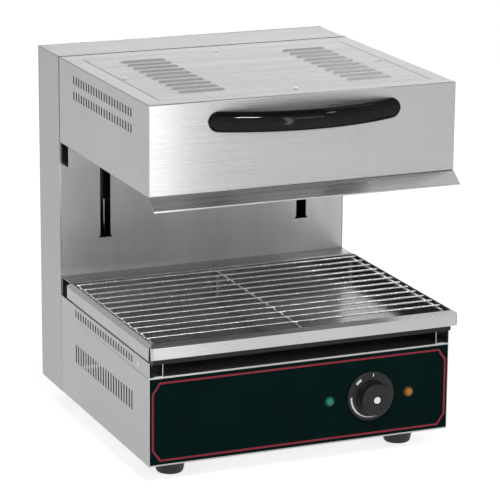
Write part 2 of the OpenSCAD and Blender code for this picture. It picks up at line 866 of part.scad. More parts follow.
module head_top_cover() color(steel) place() {
    difference() {
        union() {
            block([-cover_hw + cover_side_gap, cover_front + cover_gap, column_h - sheet_t],
                  [cover_hw - cover_side_gap, cover_back - cover_gap, column_h]);
            louvre_places() louvre_hood(0, sheet_t / 2);
        }
        louvre_places() louvre_hood(louvre_skin, sheet_t + 1);
        top_screw_places() translate([0, 0, -5]) cylinder(d = top_screw_d + 2 * hole_gap, h = 10);
    }
}

// The front edge of each louvre, at the middle of its length
module louvre_places() {
    first = cover_mid_y - (louvre_count - 1) * louvre_pitch / 2 - louvre_w / 2;
    both_sides()
        for (i = [0 : louvre_count - 1])
            translate([half_w - louvre_side, first + i * louvre_pitch, column_h]) children();
}

// A louvre's hood: it rises from its toe at the front, and its mouth faces the back.
// With an inset it is the hollow inside the hood, open at the mouth and below.
module louvre_hood(inset, depth) {
    toe = 2 * inset;
    top = louvre_rise - inset;
    mouth = inset > 0 ? louvre_w + eps : louvre_w;
    half = louvre_len / 2 - 2 * inset;
    intersection() {
        rotate([90, 0, 90]) translate([0, 0, -louvre_len]) linear_extrude(2 * louvre_len)
            polygon([[toe, -depth], [toe, 0], [louvre_w * 0.7, top], [mouth, top], [mouth, -depth]]);
        rotate([90, 0, 0]) translate([0, 0, -louvre_w - 1]) linear_extrude(louvre_w + 2)
            polygon([[-half, -depth], [-half, 0], [2 * top - half, top], [half - 2 * top, top],
                     [half, 0], [half, -depth]]);
    }
}

module cover_screws() color(steel) place() {
    top_screw_places() screw_down(2 * top_screw_d + 0.5, 1.8, top_screw_d, 5);
}

module head_back_plate() color(steel) place() {
    tab_z = head_z + 4;
    top_z = column_h - 10;
    difference() {
        union() {
            block([-shield_w, shield_y, shield_z], [shield_w, shield_y + sheet_t, top_z]);
            block([-shield_w, shield_y, shield_z], [shield_w, front_d - 1.5, shield_z + sheet_t]);
            both_sides() {
                block([shield_w - 1, shield_y, tab_z], [inner_w, shield_y + sheet_t, top_z]);
                block([inner_w - sheet_t, shield_y - flange_w, tab_z],
                      [inner_w, shield_y + sheet_t, top_z]);
            }
        }
        front_bolt_places() rotate([-90, 0, 0]) translate([0, 0, -5])
            cylinder(d = bolt_d + 2 * hole_gap, h = 10);
    }
}

module deflector() color(dark_steel) place() {
    tip_z = head_z - lip_drop;
    hem_y = lip_hem - lip_out;
    hem_z = tip_z + lip_hem * lip_drop / lip_out;
    rotate([90, 0, 90]) translate([0, 0, -half_w]) linear_extrude(body_w)
        polygon([[flange_w - 2, head_z], [flange_w - 2, head_z - sheet_t], [0, head_z - sheet_t],
                 [hem_y, hem_z - sheet_t], [hem_y, hem_z - 2 * sheet_t],
                 [-lip_out, tip_z - 2 * sheet_t], [-lip_out, tip_z], [0, head_z]]);
}

module handle() color(black) place() {
    pad_x = handle_len / 2;
    rise = handle_out - pad_t;
    outer_r = (pad_x * pad_x + rise * rise) / (2 * rise);
    gap_hw = pad_x - pad_len;
    gap_out = handle_out - grip_t;
    inner_r = (gap_hw * gap_hw + gap_out * gap_out) / (2 * gap_out);
    difference() {
        intersection() {
            translate([0, 0, handle_z - handle_h / 2]) linear_extrude(handle_h)
                difference() {
                    intersection() {
                        translate([0, outer_r - handle_out]) circle(r = outer_r, $fn = 96);
                        translate([-pad_x, -handle_out]) square([2 * pad_x, handle_out]);
                    }
                    translate([0, inner_r - gap_out]) circle(r = inner_r, $fn = 96);
                }
            // Round ends, seen from the front
            translate([0, 1, handle_z]) rotate([90, 0, 0]) linear_extrude(handle_out + 2) {
                square([handle_len - handle_h, handle_h], center = true);
                for (x = [-1, 1])
                    translate([x * (handle_len - handle_h) / 2, 0]) circle(d = handle_h);
            }
        }
        both_sides()
            bar_along_y([handle_screw_x, -handle_screw_in - 1, handle_z], handle_screw_d + 2 * hole_gap,
                        handle_screw_in + 2);
    }
}

module handle_screws() color(steel) place() {
    both_sides()
        translate([handle_screw_x, sheet_t, handle_z]) rotate([-90, 0, 0])
            screw_down(handle_screw_d + 4, 3, handle_screw_d, sheet_t + handle_screw_in);
}

module reflector() color(steel) place() {
    out_hw = half_w - reflector_in;
    low = head_z + sheet_t;
    difference() {
        union() {
            difference() {
                block([-out_hw, reflector_in, low], [out_hw, reflector_back, reflector_z + sheet_t]);
                block([-out_hw + sheet_t, reflector_in + sheet_t, low - 1],
                      [out_hw - sheet_t, reflector_back - sheet_t, reflector_z]);
            }
            // Bottom flange that lies on the casing's flange
            both_sides()
                block([out_hw - sheet_t, 2 * sheet_t, low],
                      [half_w - 2 * sheet_t, reflector_back, low + sheet_t]);
            block([-out_hw, 2 * sheet_t, low], [out_hw, reflector_in + sheet_t, low + sheet_t]);
        }
        element_ends() bar_along_y([0, reflector_back - 5, tube_z], element_d + 2 * hole_gap, 10);
    }
}

// The middles of the tube ends, left and right
module element_ends() {
    both_sides()
        for (i = [0, element_runs - 1])
            translate([(i + 0.5) * element_pitch, 0, 0]) children();
}

module insulation_blanket() color([0.92, 0.9, 0.84]) place() {
    out_hw = half_w - reflector_in - blanket_gap;
    block([-out_hw, reflector_in + blanket_gap, reflector_z + sheet_t],
          [out_hw, reflector_back - blanket_gap, reflector_z + sheet_t + insulation_t]);
}

module heating_element(side) color(dark_steel) place() on_side(side) {
    length = element_back - element_front;
    translate([element_pitch / 2, element_front, tube_z])
        serpentine(element_runs, length, element_pitch, element_d);
    // Cold ends through the reflector, each with a collar and a terminal stud
    for (i = [0, element_runs - 1])
        translate([(i + 0.5) * element_pitch, 0, tube_z]) {
            bar_along_y([0, element_back - eps, 0], element_d,
                        reflector_back + cold_end - element_back);
            bar_along_y([0, reflector_back - sheet_t - element_collar, 0], element_d + 6,
                        element_collar);
            bar_along_y([0, reflector_back + cold_end - 1, 0], element_stud_d, element_stud_len);
        }
}

module element_hangers() color(steel) place() {
    out_hw = half_w - reflector_in - hanger_edge;
    for (y = [element_front + hanger_in, element_back - hanger_in])
        difference() {
            block([-out_hw, y - hanger_t / 2, tube_z - element_d / 2 - hanger_edge],
                  [out_hw, y + hanger_t / 2, reflector_z]);
            both_sides()
                for (i = [0 : element_runs - 1])
                    bar_along_y([(i + 0.5) * element_pitch, y - hanger_t, tube_z], element_d + 2 * seam,
                                2 * hanger_t);
        }
}

// ---- lifting carriage ----

module carriage_plate() color(dark_steel) place() {
    back = carriage_y + carriage_t;
    difference() {
        union() {
            block([-carriage_hw, carriage_y, carriage_low], [carriage_hw, back, carriage_top]);
            block([-carriage_hw, carriage_y, carriage_top - carriage_t],
                  [carriage_hw, carriage_shelf, carriage_top]);
        }
        // The rods pass through the shelf, and the struts are bolted to it
        both_sides() {
            translate([rod_x, mech_y, carriage_top - 10]) cylinder(d = rod_d + 8, h = 20);
            translate([strut_x, mech_y, carriage_top - 10]) cylinder(r = stud_r + hole_gap, h = 20);
        }
        rear_bolt_places() rotate([-90, 0, 0]) translate([0, 0, -5])
            cylinder(d = bolt_d + 2 * hole_gap, h = 20);
    }
}

module lift_arm(side) color(dark_steel) place() on_side(side) {
    inside_y = front_d + sheet_t + 1.2;
    flange_x = arm_x + arm_t + arm_flange;
    difference() {
        union() {
            translate([arm_x, 0, 0]) rotate([90, 0, 90]) linear_extrude(arm_t)
                polygon([[shield_y + sheet_t, arm_z], [inside_y, arm_z], [inside_y, carriage_low],
                         [carriage_y, carriage_low], [carriage_y, arm_top],
                         [shield_y + sheet_t, arm_top]]);
            block([arm_x, shield_y + sheet_t, head_z + 8],
                  [flange_x, shield_y + sheet_t + arm_t, arm_top]);
            block([arm_x, carriage_y - arm_t, carriage_low + 6],
                  [flange_x - 4, carriage_y, carriage_top - 12]);
        }
        one_side_bolts(front_bolt_zs(), shield_y) cylinder(d = bolt_d + 2 * hole_gap, h = 10);
        one_side_bolts(rear_bolt_zs(), carriage_y - arm_t - 5)
            cylinder(d = bolt_d + 2 * hole_gap, h = 20);
    }
}

function front_bolt_zs() = [head_z + 25, arm_top - 18];
function rear_bolt_zs() = [carriage_low + 58, carriage_top - 58];
bolt_x = arm_x + arm_t + 7;

// Bolt axes on the right-hand side, pointing to +Y from a given y
module one_side_bolts(heights, y) {
    for (z = heights)
        translate([bolt_x, y, z]) rotate([-90, 0, 0]) children();
}

module front_bolt_places() {
    both_sides()
        for (z = front_bolt_zs())
            translate([bolt_x, shield_y, z]) children();
}

module rear_bolt_places() {
    both_sides()
        for (z = rear_bolt_zs())
            translate([bolt_x, carriage_y - arm_t, z]) children();
}

module arm_bolts() color(steel) place() {
    front_bolt_places() bolt_and_nut(sheet_t + arm_t);
    rear_bolt_places() bolt_and_nut(arm_t + carriage_t);
}

module guide_bushes() color([0.85, 0.84, 0.78]) place() {
    both_sides()
        for (low_z = [bush_low_z, bush_high_z]) difference() {
            block([rod_x - bush_w / 2, carriage_y + carriage_t, low_z],
                  [rod_x + bush_w / 2, bush_back, low_z + bush_h]);
            translate([rod_x, mech_y, low_z - 1]) cylinder(d = rod_d + 2 * bush_fit, h = bush_h + 2);
        }
}

module strut_cylinder(side) color(black) place() on_side(side) {
    top = strut_low + strut_len;
    translate([strut_x, mech_y, 0]) difference() {
        union() {
            translate([0, 0, strut_low]) cylinder(d = strut_d, h = strut_len);
            translate([0, 0, top - eps]) cylinder(r = stud_r, h = carriage_top + nut_h + 3 - top);
            translate([0, 0, carriage_top]) cylinder(d = stud_nut_d, h = nut_h, $fn = 6);
        }
        translate([0, 0, strut_low - 1])
            cylinder(d = strut_rod_d + 2 * bush_fit, h = lift_travel + 13);
    }
}

// ---- pan and rack ----

// An upright block with rounded corners over the pan's inside, made wider by a margin
module pan_block(margin, corner_r, low, high) {
    hw = pan_hw + margin;
    front = pan_front - margin;
    back = pan_back + margin;
    translate([0, 0, low]) linear_extrude(high - low) {
        translate([-hw + corner_r, front]) square([2 * (hw - corner_r), back - front]);
        translate([-hw, front + corner_r]) square([2 * hw, back - front - 2 * corner_r]);
        for (x = [-hw + corner_r, hw - corner_r], y = [front + corner_r, back - corner_r])
            translate([x, y]) circle(r = corner_r);
    }
}

// Everything under the rim's four slopes, which meet in mitred corners
module under_slopes(fall) {
    low = pan_top - fall - 2 * rim_drop;
    top = pan_top - fall;
    wide = 2 * rim_w;
    intersection() {
        rotate([90, 0, 0]) translate([0, 0, -pan_back - wide - 1])
            linear_extrude(pan_back - pan_front + 2 * wide + 2)
                polygon([[-pan_hw - wide, rail_top], [-pan_hw - wide, low], [-pan_hw, top],
                         [pan_hw, top], [pan_hw + wide, low], [pan_hw + wide, rail_top]]);
        rotate([90, 0, 90]) translate([0, 0, -pan_hw - wide - 1])
            linear_extrude(2 * (pan_hw + wide + 1))
                polygon([[pan_front - wide, rail_top], [pan_front - wide, low], [pan_front, top],
                         [pan_back, top], [pan_back + wide, low], [pan_back + wide, rail_top]]);
    }
}

module grill_pan() color(steel) place() {
    skirt_z = pan_top - rim_drop - skirt_h;
    difference() {
        union() {
            difference() {
                intersection() {
                    pan_block(rim_w, skirt_corner_r, skirt_z, pan_top);
                    under_slopes(0);
                }
                intersection() {
                    pan_block(rim_w - sheet_t, skirt_corner_r - sheet_t, rail_top, pan_top);
                    under_slopes(rim_fold);
                }
            }
            intersection() {
                pan_block(sheet_t, pan_corner_r + sheet_t, rail_top, pan_top);
                under_slopes(0);
            }
        }
        pan_block(0, pan_corner_r, rail_top + sheet_t, pan_top + 1);
    }
}

// The three long bars, with a leg at each end that stands on the pan's floor
module rack_bars() color(steel) place() {
    $fn = 24;
    for (x = [-bar_x, 0, bar_x]) {
        bar_along_y([x, rack_front + bend_r, bar_z], bar_d, rack_back - rack_front - 2 * bend_r);
        for (turn = [0, 1])
            translate([x, turn == 0 ? rack_front + bend_r : rack_back - bend_r, bar_z - bend_r])
                rotate([0, 0, turn == 0 ? -90 : 90]) rotate([90, 0, 0]) elbow(bend_r, bar_d);
        for (y = [rack_front, rack_back])
            translate([x, y, rail_top + sheet_t])
                cylinder(d = bar_d, h = bar_z - bend_r - rail_top - sheet_t);
    }
}

// The cross wires, which lie on the long bars
module rack_wires() color(steel) place() {
    $fn = 24;
    half_wire = bar_x + bar_d / 2 + wire_over;
    for (i = [0 : wire_count - 1])
        bar_along_x([-half_wire, rack_front + first_wire + i * wire_pitch, wire_z],
                    wire_d, 2 * half_wire);
}

// ---- knob ----

module knob() color(black) place() {
    skirt_r = knob_skirt_d / 2;
    grip_r = knob_grip_d / 2;
    translate([knob_x, 0, knob_z]) rotate([90, 0, 0]) difference() {
        rotate_extrude()
            polygon([[0, knob_seat], [skirt_r, knob_seat], [skirt_r, knob_seat + 2.5],
                     [skirt_r - 1.5, knob_seat + 3.5], [grip_r + 1.5, knob_seat + 5.5],
                     [grip_r, knob_out - 2], [grip_r - 2, knob_out], [0, knob_out]]);
        cylinder(d = spindle_d + 2 * bush_fit, h = spindle_out + hole_gap);
        translate([0, 0, knob_out - 1.5]) cylinder(d = cap_d + 2 * hole_gap, h = 2);
    }
}

module knob_cap() color(steel) place() {
    translate([knob_x, 0, knob_z]) rotate([90, 0, 0])
        translate([0, 0, knob_out - 1.5]) cylinder(d = cap_d, h = 2);
}

module regulator_spindle() color(steel) place() {
    bar_along_y([knob_x, -spindle_out, knob_z], spindle_d, spindle_out + sheet_t + spindle_in);
}

base_shell();
control_fascia();
control_overlay();
deck_plate();
side_rail(-1);  // side_rail_left
side_rail(1);  // side_rail_right
pan_runner(-1);  // pan_runner_left
pan_runner(1);  // pan_runner_right
rear_ledge();
rail_rivets();
foot(-1, -1);  // foot_front_left
foot(1, -1);  // foot_front_right
foot(-1, 1);  // foot_rear_left
foot(1, 1);  // foot_rear_right
foot_screws();
column_shell();
column_liner();
column_back_cover();
back_cover_screws();
rod_foot_bracket();
rod_head_bracket();
guide_rod(-1);  // guide_rod_left
guide_rod(1);  // guide_rod_right
strut_rod(-1);  // strut_rod_left
strut_rod(1);  // strut_rod_right
rubber_buffers();
cable_gland();
terminal_block();
energy_regulator();
regulator_wires();
column_lead();
heater_lead();
lamp(green_x, "green");  // power_lamp
lamp(amber_x, "orange");  // heating_lamp
lamp_clips();
head_casing();
head_top_cover();
cover_screws();
head_back_plate();
deflector();
handle();
handle_screws();
reflector();
insulation_blanket();
heating_element(-1);  // heating_element_left
heating_element(1);  // heating_element_right
element_hangers();
carriage_plate();
lift_arm(-1);  // lift_arm_left
lift_arm(1);  // lift_arm_right
arm_bolts();
guide_bushes();
strut_cylinder(-1);  // strut_cylinder_left
strut_cylinder(1);  // strut_cylinder_right
grill_pan();
rack_bars();
rack_wires();
knob();
knob_cap();
regulator_spindle();
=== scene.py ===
"""The looks of the cheese melter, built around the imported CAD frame."""

import json
import math

import bmesh
import bpy
from mathutils import Matrix, Vector


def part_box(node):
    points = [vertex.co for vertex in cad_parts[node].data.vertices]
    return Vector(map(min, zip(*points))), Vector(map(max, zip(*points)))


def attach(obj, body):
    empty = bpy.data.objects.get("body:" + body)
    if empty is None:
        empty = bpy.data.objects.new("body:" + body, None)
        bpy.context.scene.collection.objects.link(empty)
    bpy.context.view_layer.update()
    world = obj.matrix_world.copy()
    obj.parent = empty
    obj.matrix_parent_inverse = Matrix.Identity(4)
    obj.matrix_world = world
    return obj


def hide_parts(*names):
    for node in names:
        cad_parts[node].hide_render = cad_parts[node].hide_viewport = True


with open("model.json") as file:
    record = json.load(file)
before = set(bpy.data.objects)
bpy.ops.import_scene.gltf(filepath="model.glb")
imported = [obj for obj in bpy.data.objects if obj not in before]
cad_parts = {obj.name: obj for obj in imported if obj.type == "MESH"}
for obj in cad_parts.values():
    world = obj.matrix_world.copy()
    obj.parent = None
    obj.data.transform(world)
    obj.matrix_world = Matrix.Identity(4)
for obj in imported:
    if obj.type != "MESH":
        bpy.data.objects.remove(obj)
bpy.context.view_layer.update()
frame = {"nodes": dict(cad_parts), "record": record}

MM = 0.001
BODY_OF = {
    node: body for body, nodes in frame["record"]["behaviour"]["bodies"].items() for node in nodes
}

# ---------------------------------------------------------------- camera

# The camera's place, its turn from straight ahead, its height angle, its tilt and its lens
CAMERA_AT = (-1.4363, -3.4012, 1.2522)
CAMERA_AZIMUTH = math.radians(-23.07)
CAMERA_ELEVATION = math.radians(15.08)
CAMERA_ROLL = math.radians(0.48)
CAMERA_LENS = 192.1


def add_camera():
    """The photo's view. The camera looks along +Y when its turn is nothing."""
    a, e, r = CAMERA_AZIMUTH, CAMERA_ELEVATION, CAMERA_ROLL
    right = Vector((math.cos(a), math.sin(a), 0))
    back = Vector((math.sin(a) * math.cos(e), -math.cos(a) * math.cos(e), math.sin(e)))
    up = back.cross(right)
    x_axis = math.cos(r) * right + math.sin(r) * up
    y_axis = math.cos(r) * up - math.sin(r) * right
    turn = Matrix((x_axis, y_axis, back)).transposed().to_4x4()
    data = bpy.data.cameras.new("camera")
    data.lens = CAMERA_LENS
    data.sensor_width = 36
    data.clip_end = 100
    camera = bpy.data.objects.new("camera", data)
    camera.matrix_world = Matrix.Translation(CAMERA_AT) @ turn
    bpy.context.scene.collection.objects.link(camera)
    bpy.context.scene.camera = camera


# ---------------------------------------------------------------- materials

# How often the brush lines change along the grain and across it, per metre
GRAIN = (3, 600)
# The least part of a normal along an axis at which a face counts as facing that axis
FACES_AXIS = 0.7
# The detail and the roughness of the noise for brush lines and clouds
CLOUD = (4.0, 0.6)
# How often per metre a finish changes: the grit of a moulding, the ripple of its gloss, the
# patches of its colour and the cloudy cells in a lens
GRIT = 900
RIPPLE = 60
PATCHES = 25
LENS_CELLS = 420


def grey(value):
    """A grey with full alpha."""
    return (value, value, value, 1)


class Nodes:
    """A material's node tree, with short ways to add and join nodes.

    A Mix node takes numbers in its sockets 2 and 3, vectors in 4 and 5, and colours in 6 and 7.
    """

    def __init__(self, name):
        self.material = bpy.data.materials.new(name)
        self.material.use_nodes = True
        self.tree = self.material.node_tree
        self.tree.nodes.clear()
        self.shader = self.add("ShaderNodeBsdfPrincipled")
        out = self.add("ShaderNodeOutputMaterial")
        self.join(self.shader, "BSDF", out, "Surface")

    def add(self, kind, **settings):
        node = self.tree.nodes.new(kind)
        for key, value in settings.items():
            setattr(node, key, value)
        return node

    def join(self, a, out, b, into):
        self.tree.links.new(a.outputs[out], b.inputs[into])

    def set(self, **values):
        for key, value in values.items():
            self.shader.inputs[key.replace("_", " ")].default_value = value

    def place(self, scale):
        """Object coordinates in metres, times a scale per axis."""
        where = self.add("ShaderNodeTexCoord")
        mapping = self.add("ShaderNodeMapping")
        mapping.inputs["Scale"].default_value = scale
        self.join(where, "Object", mapping, "Vector")
        return mapping

    def noise(self, scale, detail, rough=0.5):
        node = self.add("ShaderNodeTexNoise")
        node.inputs["Scale"].default_value = 1.0
        node.inputs["Detail"].default_value = detail
        node.inputs["Roughness"].default_value = rough
        self.join(self.place(scale), "Vector", node, "Vector")
        return node

    def spread(self, source, low, high, from_low=0.3, from_high=0.7):
        """Maps a noise's middle values to a range."""
        node = self.add("ShaderNodeMapRange")
        node.inputs["From Min"].default_value = from_low
        node.inputs["From Max"].default_value = from_high
        node.inputs["To Min"].default_value = low
        node.inputs["To Max"].default_value = high
        self.join(source, 0, node, "Value")
        return node

    def blend(self, factor, colour_a, colour_b):
        node = self.add("ShaderNodeMix", data_type="RGBA")
        self.join(factor, 0, node, 0)
        node.inputs[6].default_value = (*colour_a, 1)
        node.inputs[7].default_value = (*colour_b, 1)
        return node

    def bump(self, source, strength, distance):
        node = self.add("ShaderNodeBump")
        node.inputs["Strength"].default_value = strength
        node.inputs["Distance"].default_value = distance
        self.join(source, 0, node, "Height")
        self.join(node, "Normal", self.shader, "Normal")

    def math(self, operation, source, out, value=0.0):
        node = self.add("ShaderNodeMath", operation=operation)
        self.join(source, out, node, 0)
        node.inputs[1].default_value = value
        return node

    def grain(self, upright):
        """Brush lines. They run level along the walls, or up and down when upright."""
        long, fine = GRAIN
        x_lines, y_lines, z_lines = (long, fine, fine), (fine, long, fine), (fine, fine, long)
        if upright:
            part, scales, axes = "Z", (z_lines, x_lines), ((0, 0, 1), (1, 0, 0))
        else:
            part, scales, axes = "X", (x_lines, y_lines), ((1, 0, 0), (0, 1, 0))
        normal = self.add("ShaderNodeNewGeometry")
        parts = self.add("ShaderNodeSeparateXYZ")
        self.join(normal, "Normal", parts, "Vector")
        facing = self.math("GREATER_THAN", self.math("ABSOLUTE", parts, part), 0, FACES_AXIS)
        lines = self.add("ShaderNodeMix", data_type="FLOAT")
        self.join(facing, 0, lines, 0)
        self.join(self.noise(scales[0], *CLOUD), 0, lines, 2)
        self.join(self.noise(scales[1], *CLOUD), 0, lines, 3)
        axis = self.add("ShaderNodeMix", data_type="VECTOR")
        self.join(facing, 0, axis, 0)
        axis.inputs[4].default_value = axes[0]
        axis.inputs[5].default_value = axes[1]
        across = self.add("ShaderNodeVectorMath", operation="CROSS_PRODUCT")
        self.join(normal, "Normal", across, 0)
        self.join(axis, 1, across, 1)
        self.join(across, 0, self.shader, "Tangent")
        return lines


# How much of its head-on reflectance brushed steel keeps at a low angle
STEEL_EDGE = 0.76
# How far the brush lines change the shade and the roughness
LINE_SHADE = (0.965, 1.025)
LINE_ROUGH = 0.05


def brushed(name, shade, rough, upright=False, stain=0.06, cloud_scale=(7, 7, 7), drawn=0.8):
    """Brushed sheet steel: fine scratches along the grain and a faint cloud of handling marks.

    The stain is how much the marks darken it, and drawn is how far the grain stretches a glint.
    """
    n = Nodes(name)
    lines = n.grain(upright)
    cloud = n.noise(cloud_scale, *CLOUD)
    shade = (shade, shade, shade * 0.99)
    dark = tuple(c * (1 - stain) for c in shade)
    colour = n.blend(n.spread(cloud, 0, 1), dark, shade)
    streaked = n.add("ShaderNodeMix", data_type="RGBA", blend_type="MULTIPLY")
    streaked.inputs[0].default_value = 1.0
    n.join(colour, 2, streaked, 6)
    n.join(n.spread(lines, *LINE_SHADE), 0, streaked, 7)
    n.join(streaked, 2, n.shader, "Base Color")
    n.join(n.spread(lines, rough - LINE_ROUGH, rough + LINE_ROUGH), 0, n.shader, "Roughness")
    n.bump(lines, 0.03, 0.1 * MM)
    n.set(Metallic=1.0, Anisotropic=drawn, Specular_Tint=grey(STEEL_EDGE))
    return n.material


def plain(name, colour, rough, metal=0.0, speck=0.15, grit=0.05, scale=GRIT, shine=0.5):
    """A moulded, painted or plated finish with fine grit and slight colour variation.

    The speck is how much the colour varies, the grit how rough it feels, and the shine how much
    it mirrors.
    """
    n = Nodes(name)
    fine = n.noise((scale,) * 3, 2.0)
    cloud = n.noise((PATCHES,) * 3, 3.0)
    low = tuple(c * (1 - speck) for c in colour)
    clouded = n.blend(n.spread(cloud, 0, 1), low, colour)
    n.join(clouded, 2, n.shader, "Base Color")
    n.join(n.spread(fine, max(rough - 0.06, 0.02), rough + 0.06), 0, n.shader, "Roughness")
    n.bump(fine, grit, 0.2 * MM)
    n.set(Metallic=metal, Specular_IOR_Level=shine)
    return n.material


def gloss_black(name, shade, rough, edge):
    """Black moulding that mirrors faintly. The edge value holds down its glare at low angles."""
    n = Nodes(name)
    fine = n.noise((GRIT,) * 3, 2.0)
    ripple = n.noise((RIPPLE,) * 3, 3.0)
    colour = n.blend(n.spread(ripple, 0, 1), (shade * 0.8,) * 3, (shade,) * 3)
    n.join(colour, 2, n.shader, "Base Color")
    n.join(n.spread(fine, rough - 0.03, rough + 0.03), 0, n.shader, "Roughness")
    n.bump(ripple, 0.05, 1 * MM)
    n.set(Metallic=1.0, Specular_Tint=grey(edge))
    return n.material


def lens(name, colour, glow):
    """Coloured clear plastic of an unlit indicator lamp, cloudy inside, with a faint painted glow.
    """
    n = Nodes(name)
    cells = n.add("ShaderNodeTexVoronoi")
    cells.inputs["Scale"].default_value = 1.0
    n.join(n.place((LENS_CELLS,) * 3), "Vector", cells, "Vector")
    # The middle of each cell is lighter than its rim
    light = tuple(min(1, c * 1.4 + 0.005) for c in colour)
    cell = n.blend(n.spread(cells, 0, 1, 0.1, 0.8), light, colour)
    n.join(cell, 2, n.shader, "Base Color")
    n.bump(cells, 0.2, 0.4 * MM)
    n.set(Roughness=0.16, Specular_IOR_Level=0.25, Coat_Weight=0.15, Coat_Roughness=0.06)
    # The emission is painted light: the lamp is not lit
    n.set(Emission_Color=(*colour, 1), Emission_Strength=glow)
    return n.material


# The shade of the clean brushed steel
STEEL = 0.47

# Each look's material, with its colour or shade and its roughness
MATERIALS = {
    "steel": brushed("brushed_steel", STEEL, 0.29),
    "cover": brushed("brushed_steel_cover", STEEL, 0.29, stain=0.14, cloud_scale=(2, 32, 32)),
    # Lighter steel for the louvres' slopes: a painted sheen
    "louvre_sheen": brushed("painted_sheen_steel", 0.80, 0.27),
    "upright_steel": brushed("brushed_steel_upright", STEEL, 0.30, upright=True),
    "liner": brushed("brushed_steel_liner", 0.52, 0.34, stain=0.25, cloud_scale=(14, 14, 3)),
    "pan_steel": brushed("brushed_steel_pan", 0.50, 0.27, stain=0.1),
    # The basin's lower shade is painted shade for the hollow under the head; its clouds are stains
    "basin": brushed(
        "painted_shade_basin_steel", 0.33, 0.20, stain=0.3, cloud_scale=(18, 18, 18), drawn=0.3
    ),
    # Near-black steel: on the carriage and lift arms, and as painted shade on the pan's faces
    # behind its skirt
    "dark": plain("near_black_and_painted_shade_steel", (0.010, 0.010, 0.010), 0.4, metal=0.5),
    "zinc": plain("zinc_plate", (0.42, 0.42, 0.43), 0.42, metal=1.0),
    "bright": plain("bright_plate", (0.78, 0.78, 0.77), 0.16, metal=1.0, grit=0.02),
    "wire": plain("chromed_wire", (0.80, 0.80, 0.79), 0.2, metal=1.0, grit=0.02),
    "strut": plain("strut_paint", (0.02, 0.02, 0.02), 0.35),
    "rubber": plain("foot_rubber", (0.018, 0.018, 0.018), 0.62, grit=0.2),
    "black": gloss_black("black_phenolic", 0.020, 0.07, 0.6),
    "charcoal": plain("charcoal_phenolic", (0.015, 0.015, 0.015), 0.38, grit=0.15, shine=0.25),
    "film": plain("panel_film", (0.0012, 0.0105, 0.0100), 0.30, grit=0.01, scale=500, shine=0.02),
    "nylon": plain("natural_nylon", (0.75, 0.73, 0.66), 0.45),
    "sleeve": plain("wire_sleeve", (0.45, 0.10, 0.05), 0.6, grit=0.3),
    "blanket": plain("fibre_blanket", (0.8, 0.78, 0.72), 0.9, grit=0.8, scale=400),
    "sheath": plain("element_sheath", (0.13, 0.125, 0.12), 0.5, metal=0.6, speck=0.4),
    "green": lens("green_lens", (0.0, 0.20, 0.085), 0.06),
    "amber": lens("amber_lens", (0.33, 0.13, 0.015), 0.05),
    "green_rim": plain("green_lamp_rim", (0.0, 0.07, 0.065), 0.25, grit=0.03, shine=0.3),
    "amber_rim": plain("amber_lamp_rim", (0.12, 0.045, 0.012), 0.25, grit=0.03, shine=0.3),
    "white": plain("white_print", (0.78, 0.78, 0.76), 0.5, speck=0.08),
    "red": plain("red_print", (0.26, 0.024, 0.04), 0.45, speck=0.08, shine=0.2),
}

# The CAD nodes that stay in view as they are, by look
NODE_LOOKS = {
    "steel": ["reflector", "element_hangers"],
    "liner": ["head_back_plate"],
    "zinc": ["rod_foot_bracket", "rod_head_bracket", "energy_regulator"],
    "dark": ["carriage_plate", "lift_arm_left", "lift_arm_right"],
    "bright": [
        "foot_screws", "handle_screws", "arm_bolts", "guide_rod_left", "guide_rod_right",
        "strut_rod_left", "strut_rod_right", "regulator_spindle",
    ],
    "wire": ["rack_bars", "rack_wires"],
    "strut": ["strut_cylinder_left", "strut_cylinder_right"],
    "rubber": ["rubber_buffers"],
    "black": ["cable_gland", "lamp_clips"],
    "nylon": ["guide_bushes", "terminal_block"],
    "sleeve": ["regulator_wires", "column_lead", "heater_lead"],
    "blanket": ["insulation_blanket"],
    "sheath": ["heating_element_left", "heating_element_right"],
}


def dress_nodes():
    """Gives each CAD node that stays in view its material."""
    for look, nodes in NODE_LOOKS.items():
        for node in nodes:
            mesh = frame["nodes"][node].data
            mesh.materials.clear()
            mesh.materials.append(MATERIALS[look])


# ---------------------------------------------------------------- mesh helpers

# Points of a CAD mesh that are nearer than this are one
SAME_POINT = 0.01 * MM


def add_piece(name, shape, look, node, stands_for=True, sharp=None):
    """Makes a piece of a bmesh. It rides with a CAD node's body and may stand for the node."""
    mesh = bpy.data.meshes.new(name)
    shape.to_mesh(mesh)
    shape.free()
    mesh.materials.append(MATERIALS[look])
    if sharp is not None:
        mesh.shade_smooth()
        mesh.set_sharp_from_angle(angle=math.radians(sharp))
    piece = bpy.data.objects.new(name, mesh)
    bpy.context.scene.collection.objects.link(piece)
    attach(piece, BODY_OF[node])
    if stands_for:
        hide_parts(node)
    return piece


def skin(shape, rings):
    """Faces between rings of points. Each ring goes once round and all have the same count."""
    loops = [[shape.verts.new(point) for point in ring] for ring in rings]
    count = len(loops[0])
    for near, far in zip(loops, loops[1:]):
        for i in range(count):
            j = (i + 1) % count
            shape.faces.new((near[i], near[j], far[j], far[i]))
    return loops


def cap(shape, loop, flip=False):
    shape.faces.new(reversed(loop) if flip else loop)


def turned(shape, profile, at, axis, steps):
    """A round form about an axis: the profile lists a radius and a distance along the axis."""
    turn = Vector((0, 0, 1)).rotation_difference(Vector(axis)).to_matrix()
    rings = []
    for radius, out in profile:
        ring = []
        for i in range(steps):
            a = 2 * math.pi * i / steps
            point = Vector((radius * math.cos(a), radius * math.sin(a), out))
            ring.append(Vector(at) + turn @ point)
        rings.append(ring)
    loops = skin(shape, rings)
    cap(shape, loops[0], flip=True)
    cap(shape, loops[-1])


# ---------------------------------------------------------------- sheet metal

# Faces that turn less than this are one flat face
SAME_FLAT = math.radians(0.5)
# An edge that turns less than this is part of a curve, not a bend
LEAST_BEND = math.radians(18)


def is_broad(face, least):
    """Whether a face is wider than a sheet's cut edge."""
    longest = max(edge.calc_length() for edge in face.edges)
    return face.calc_area() / longest > least


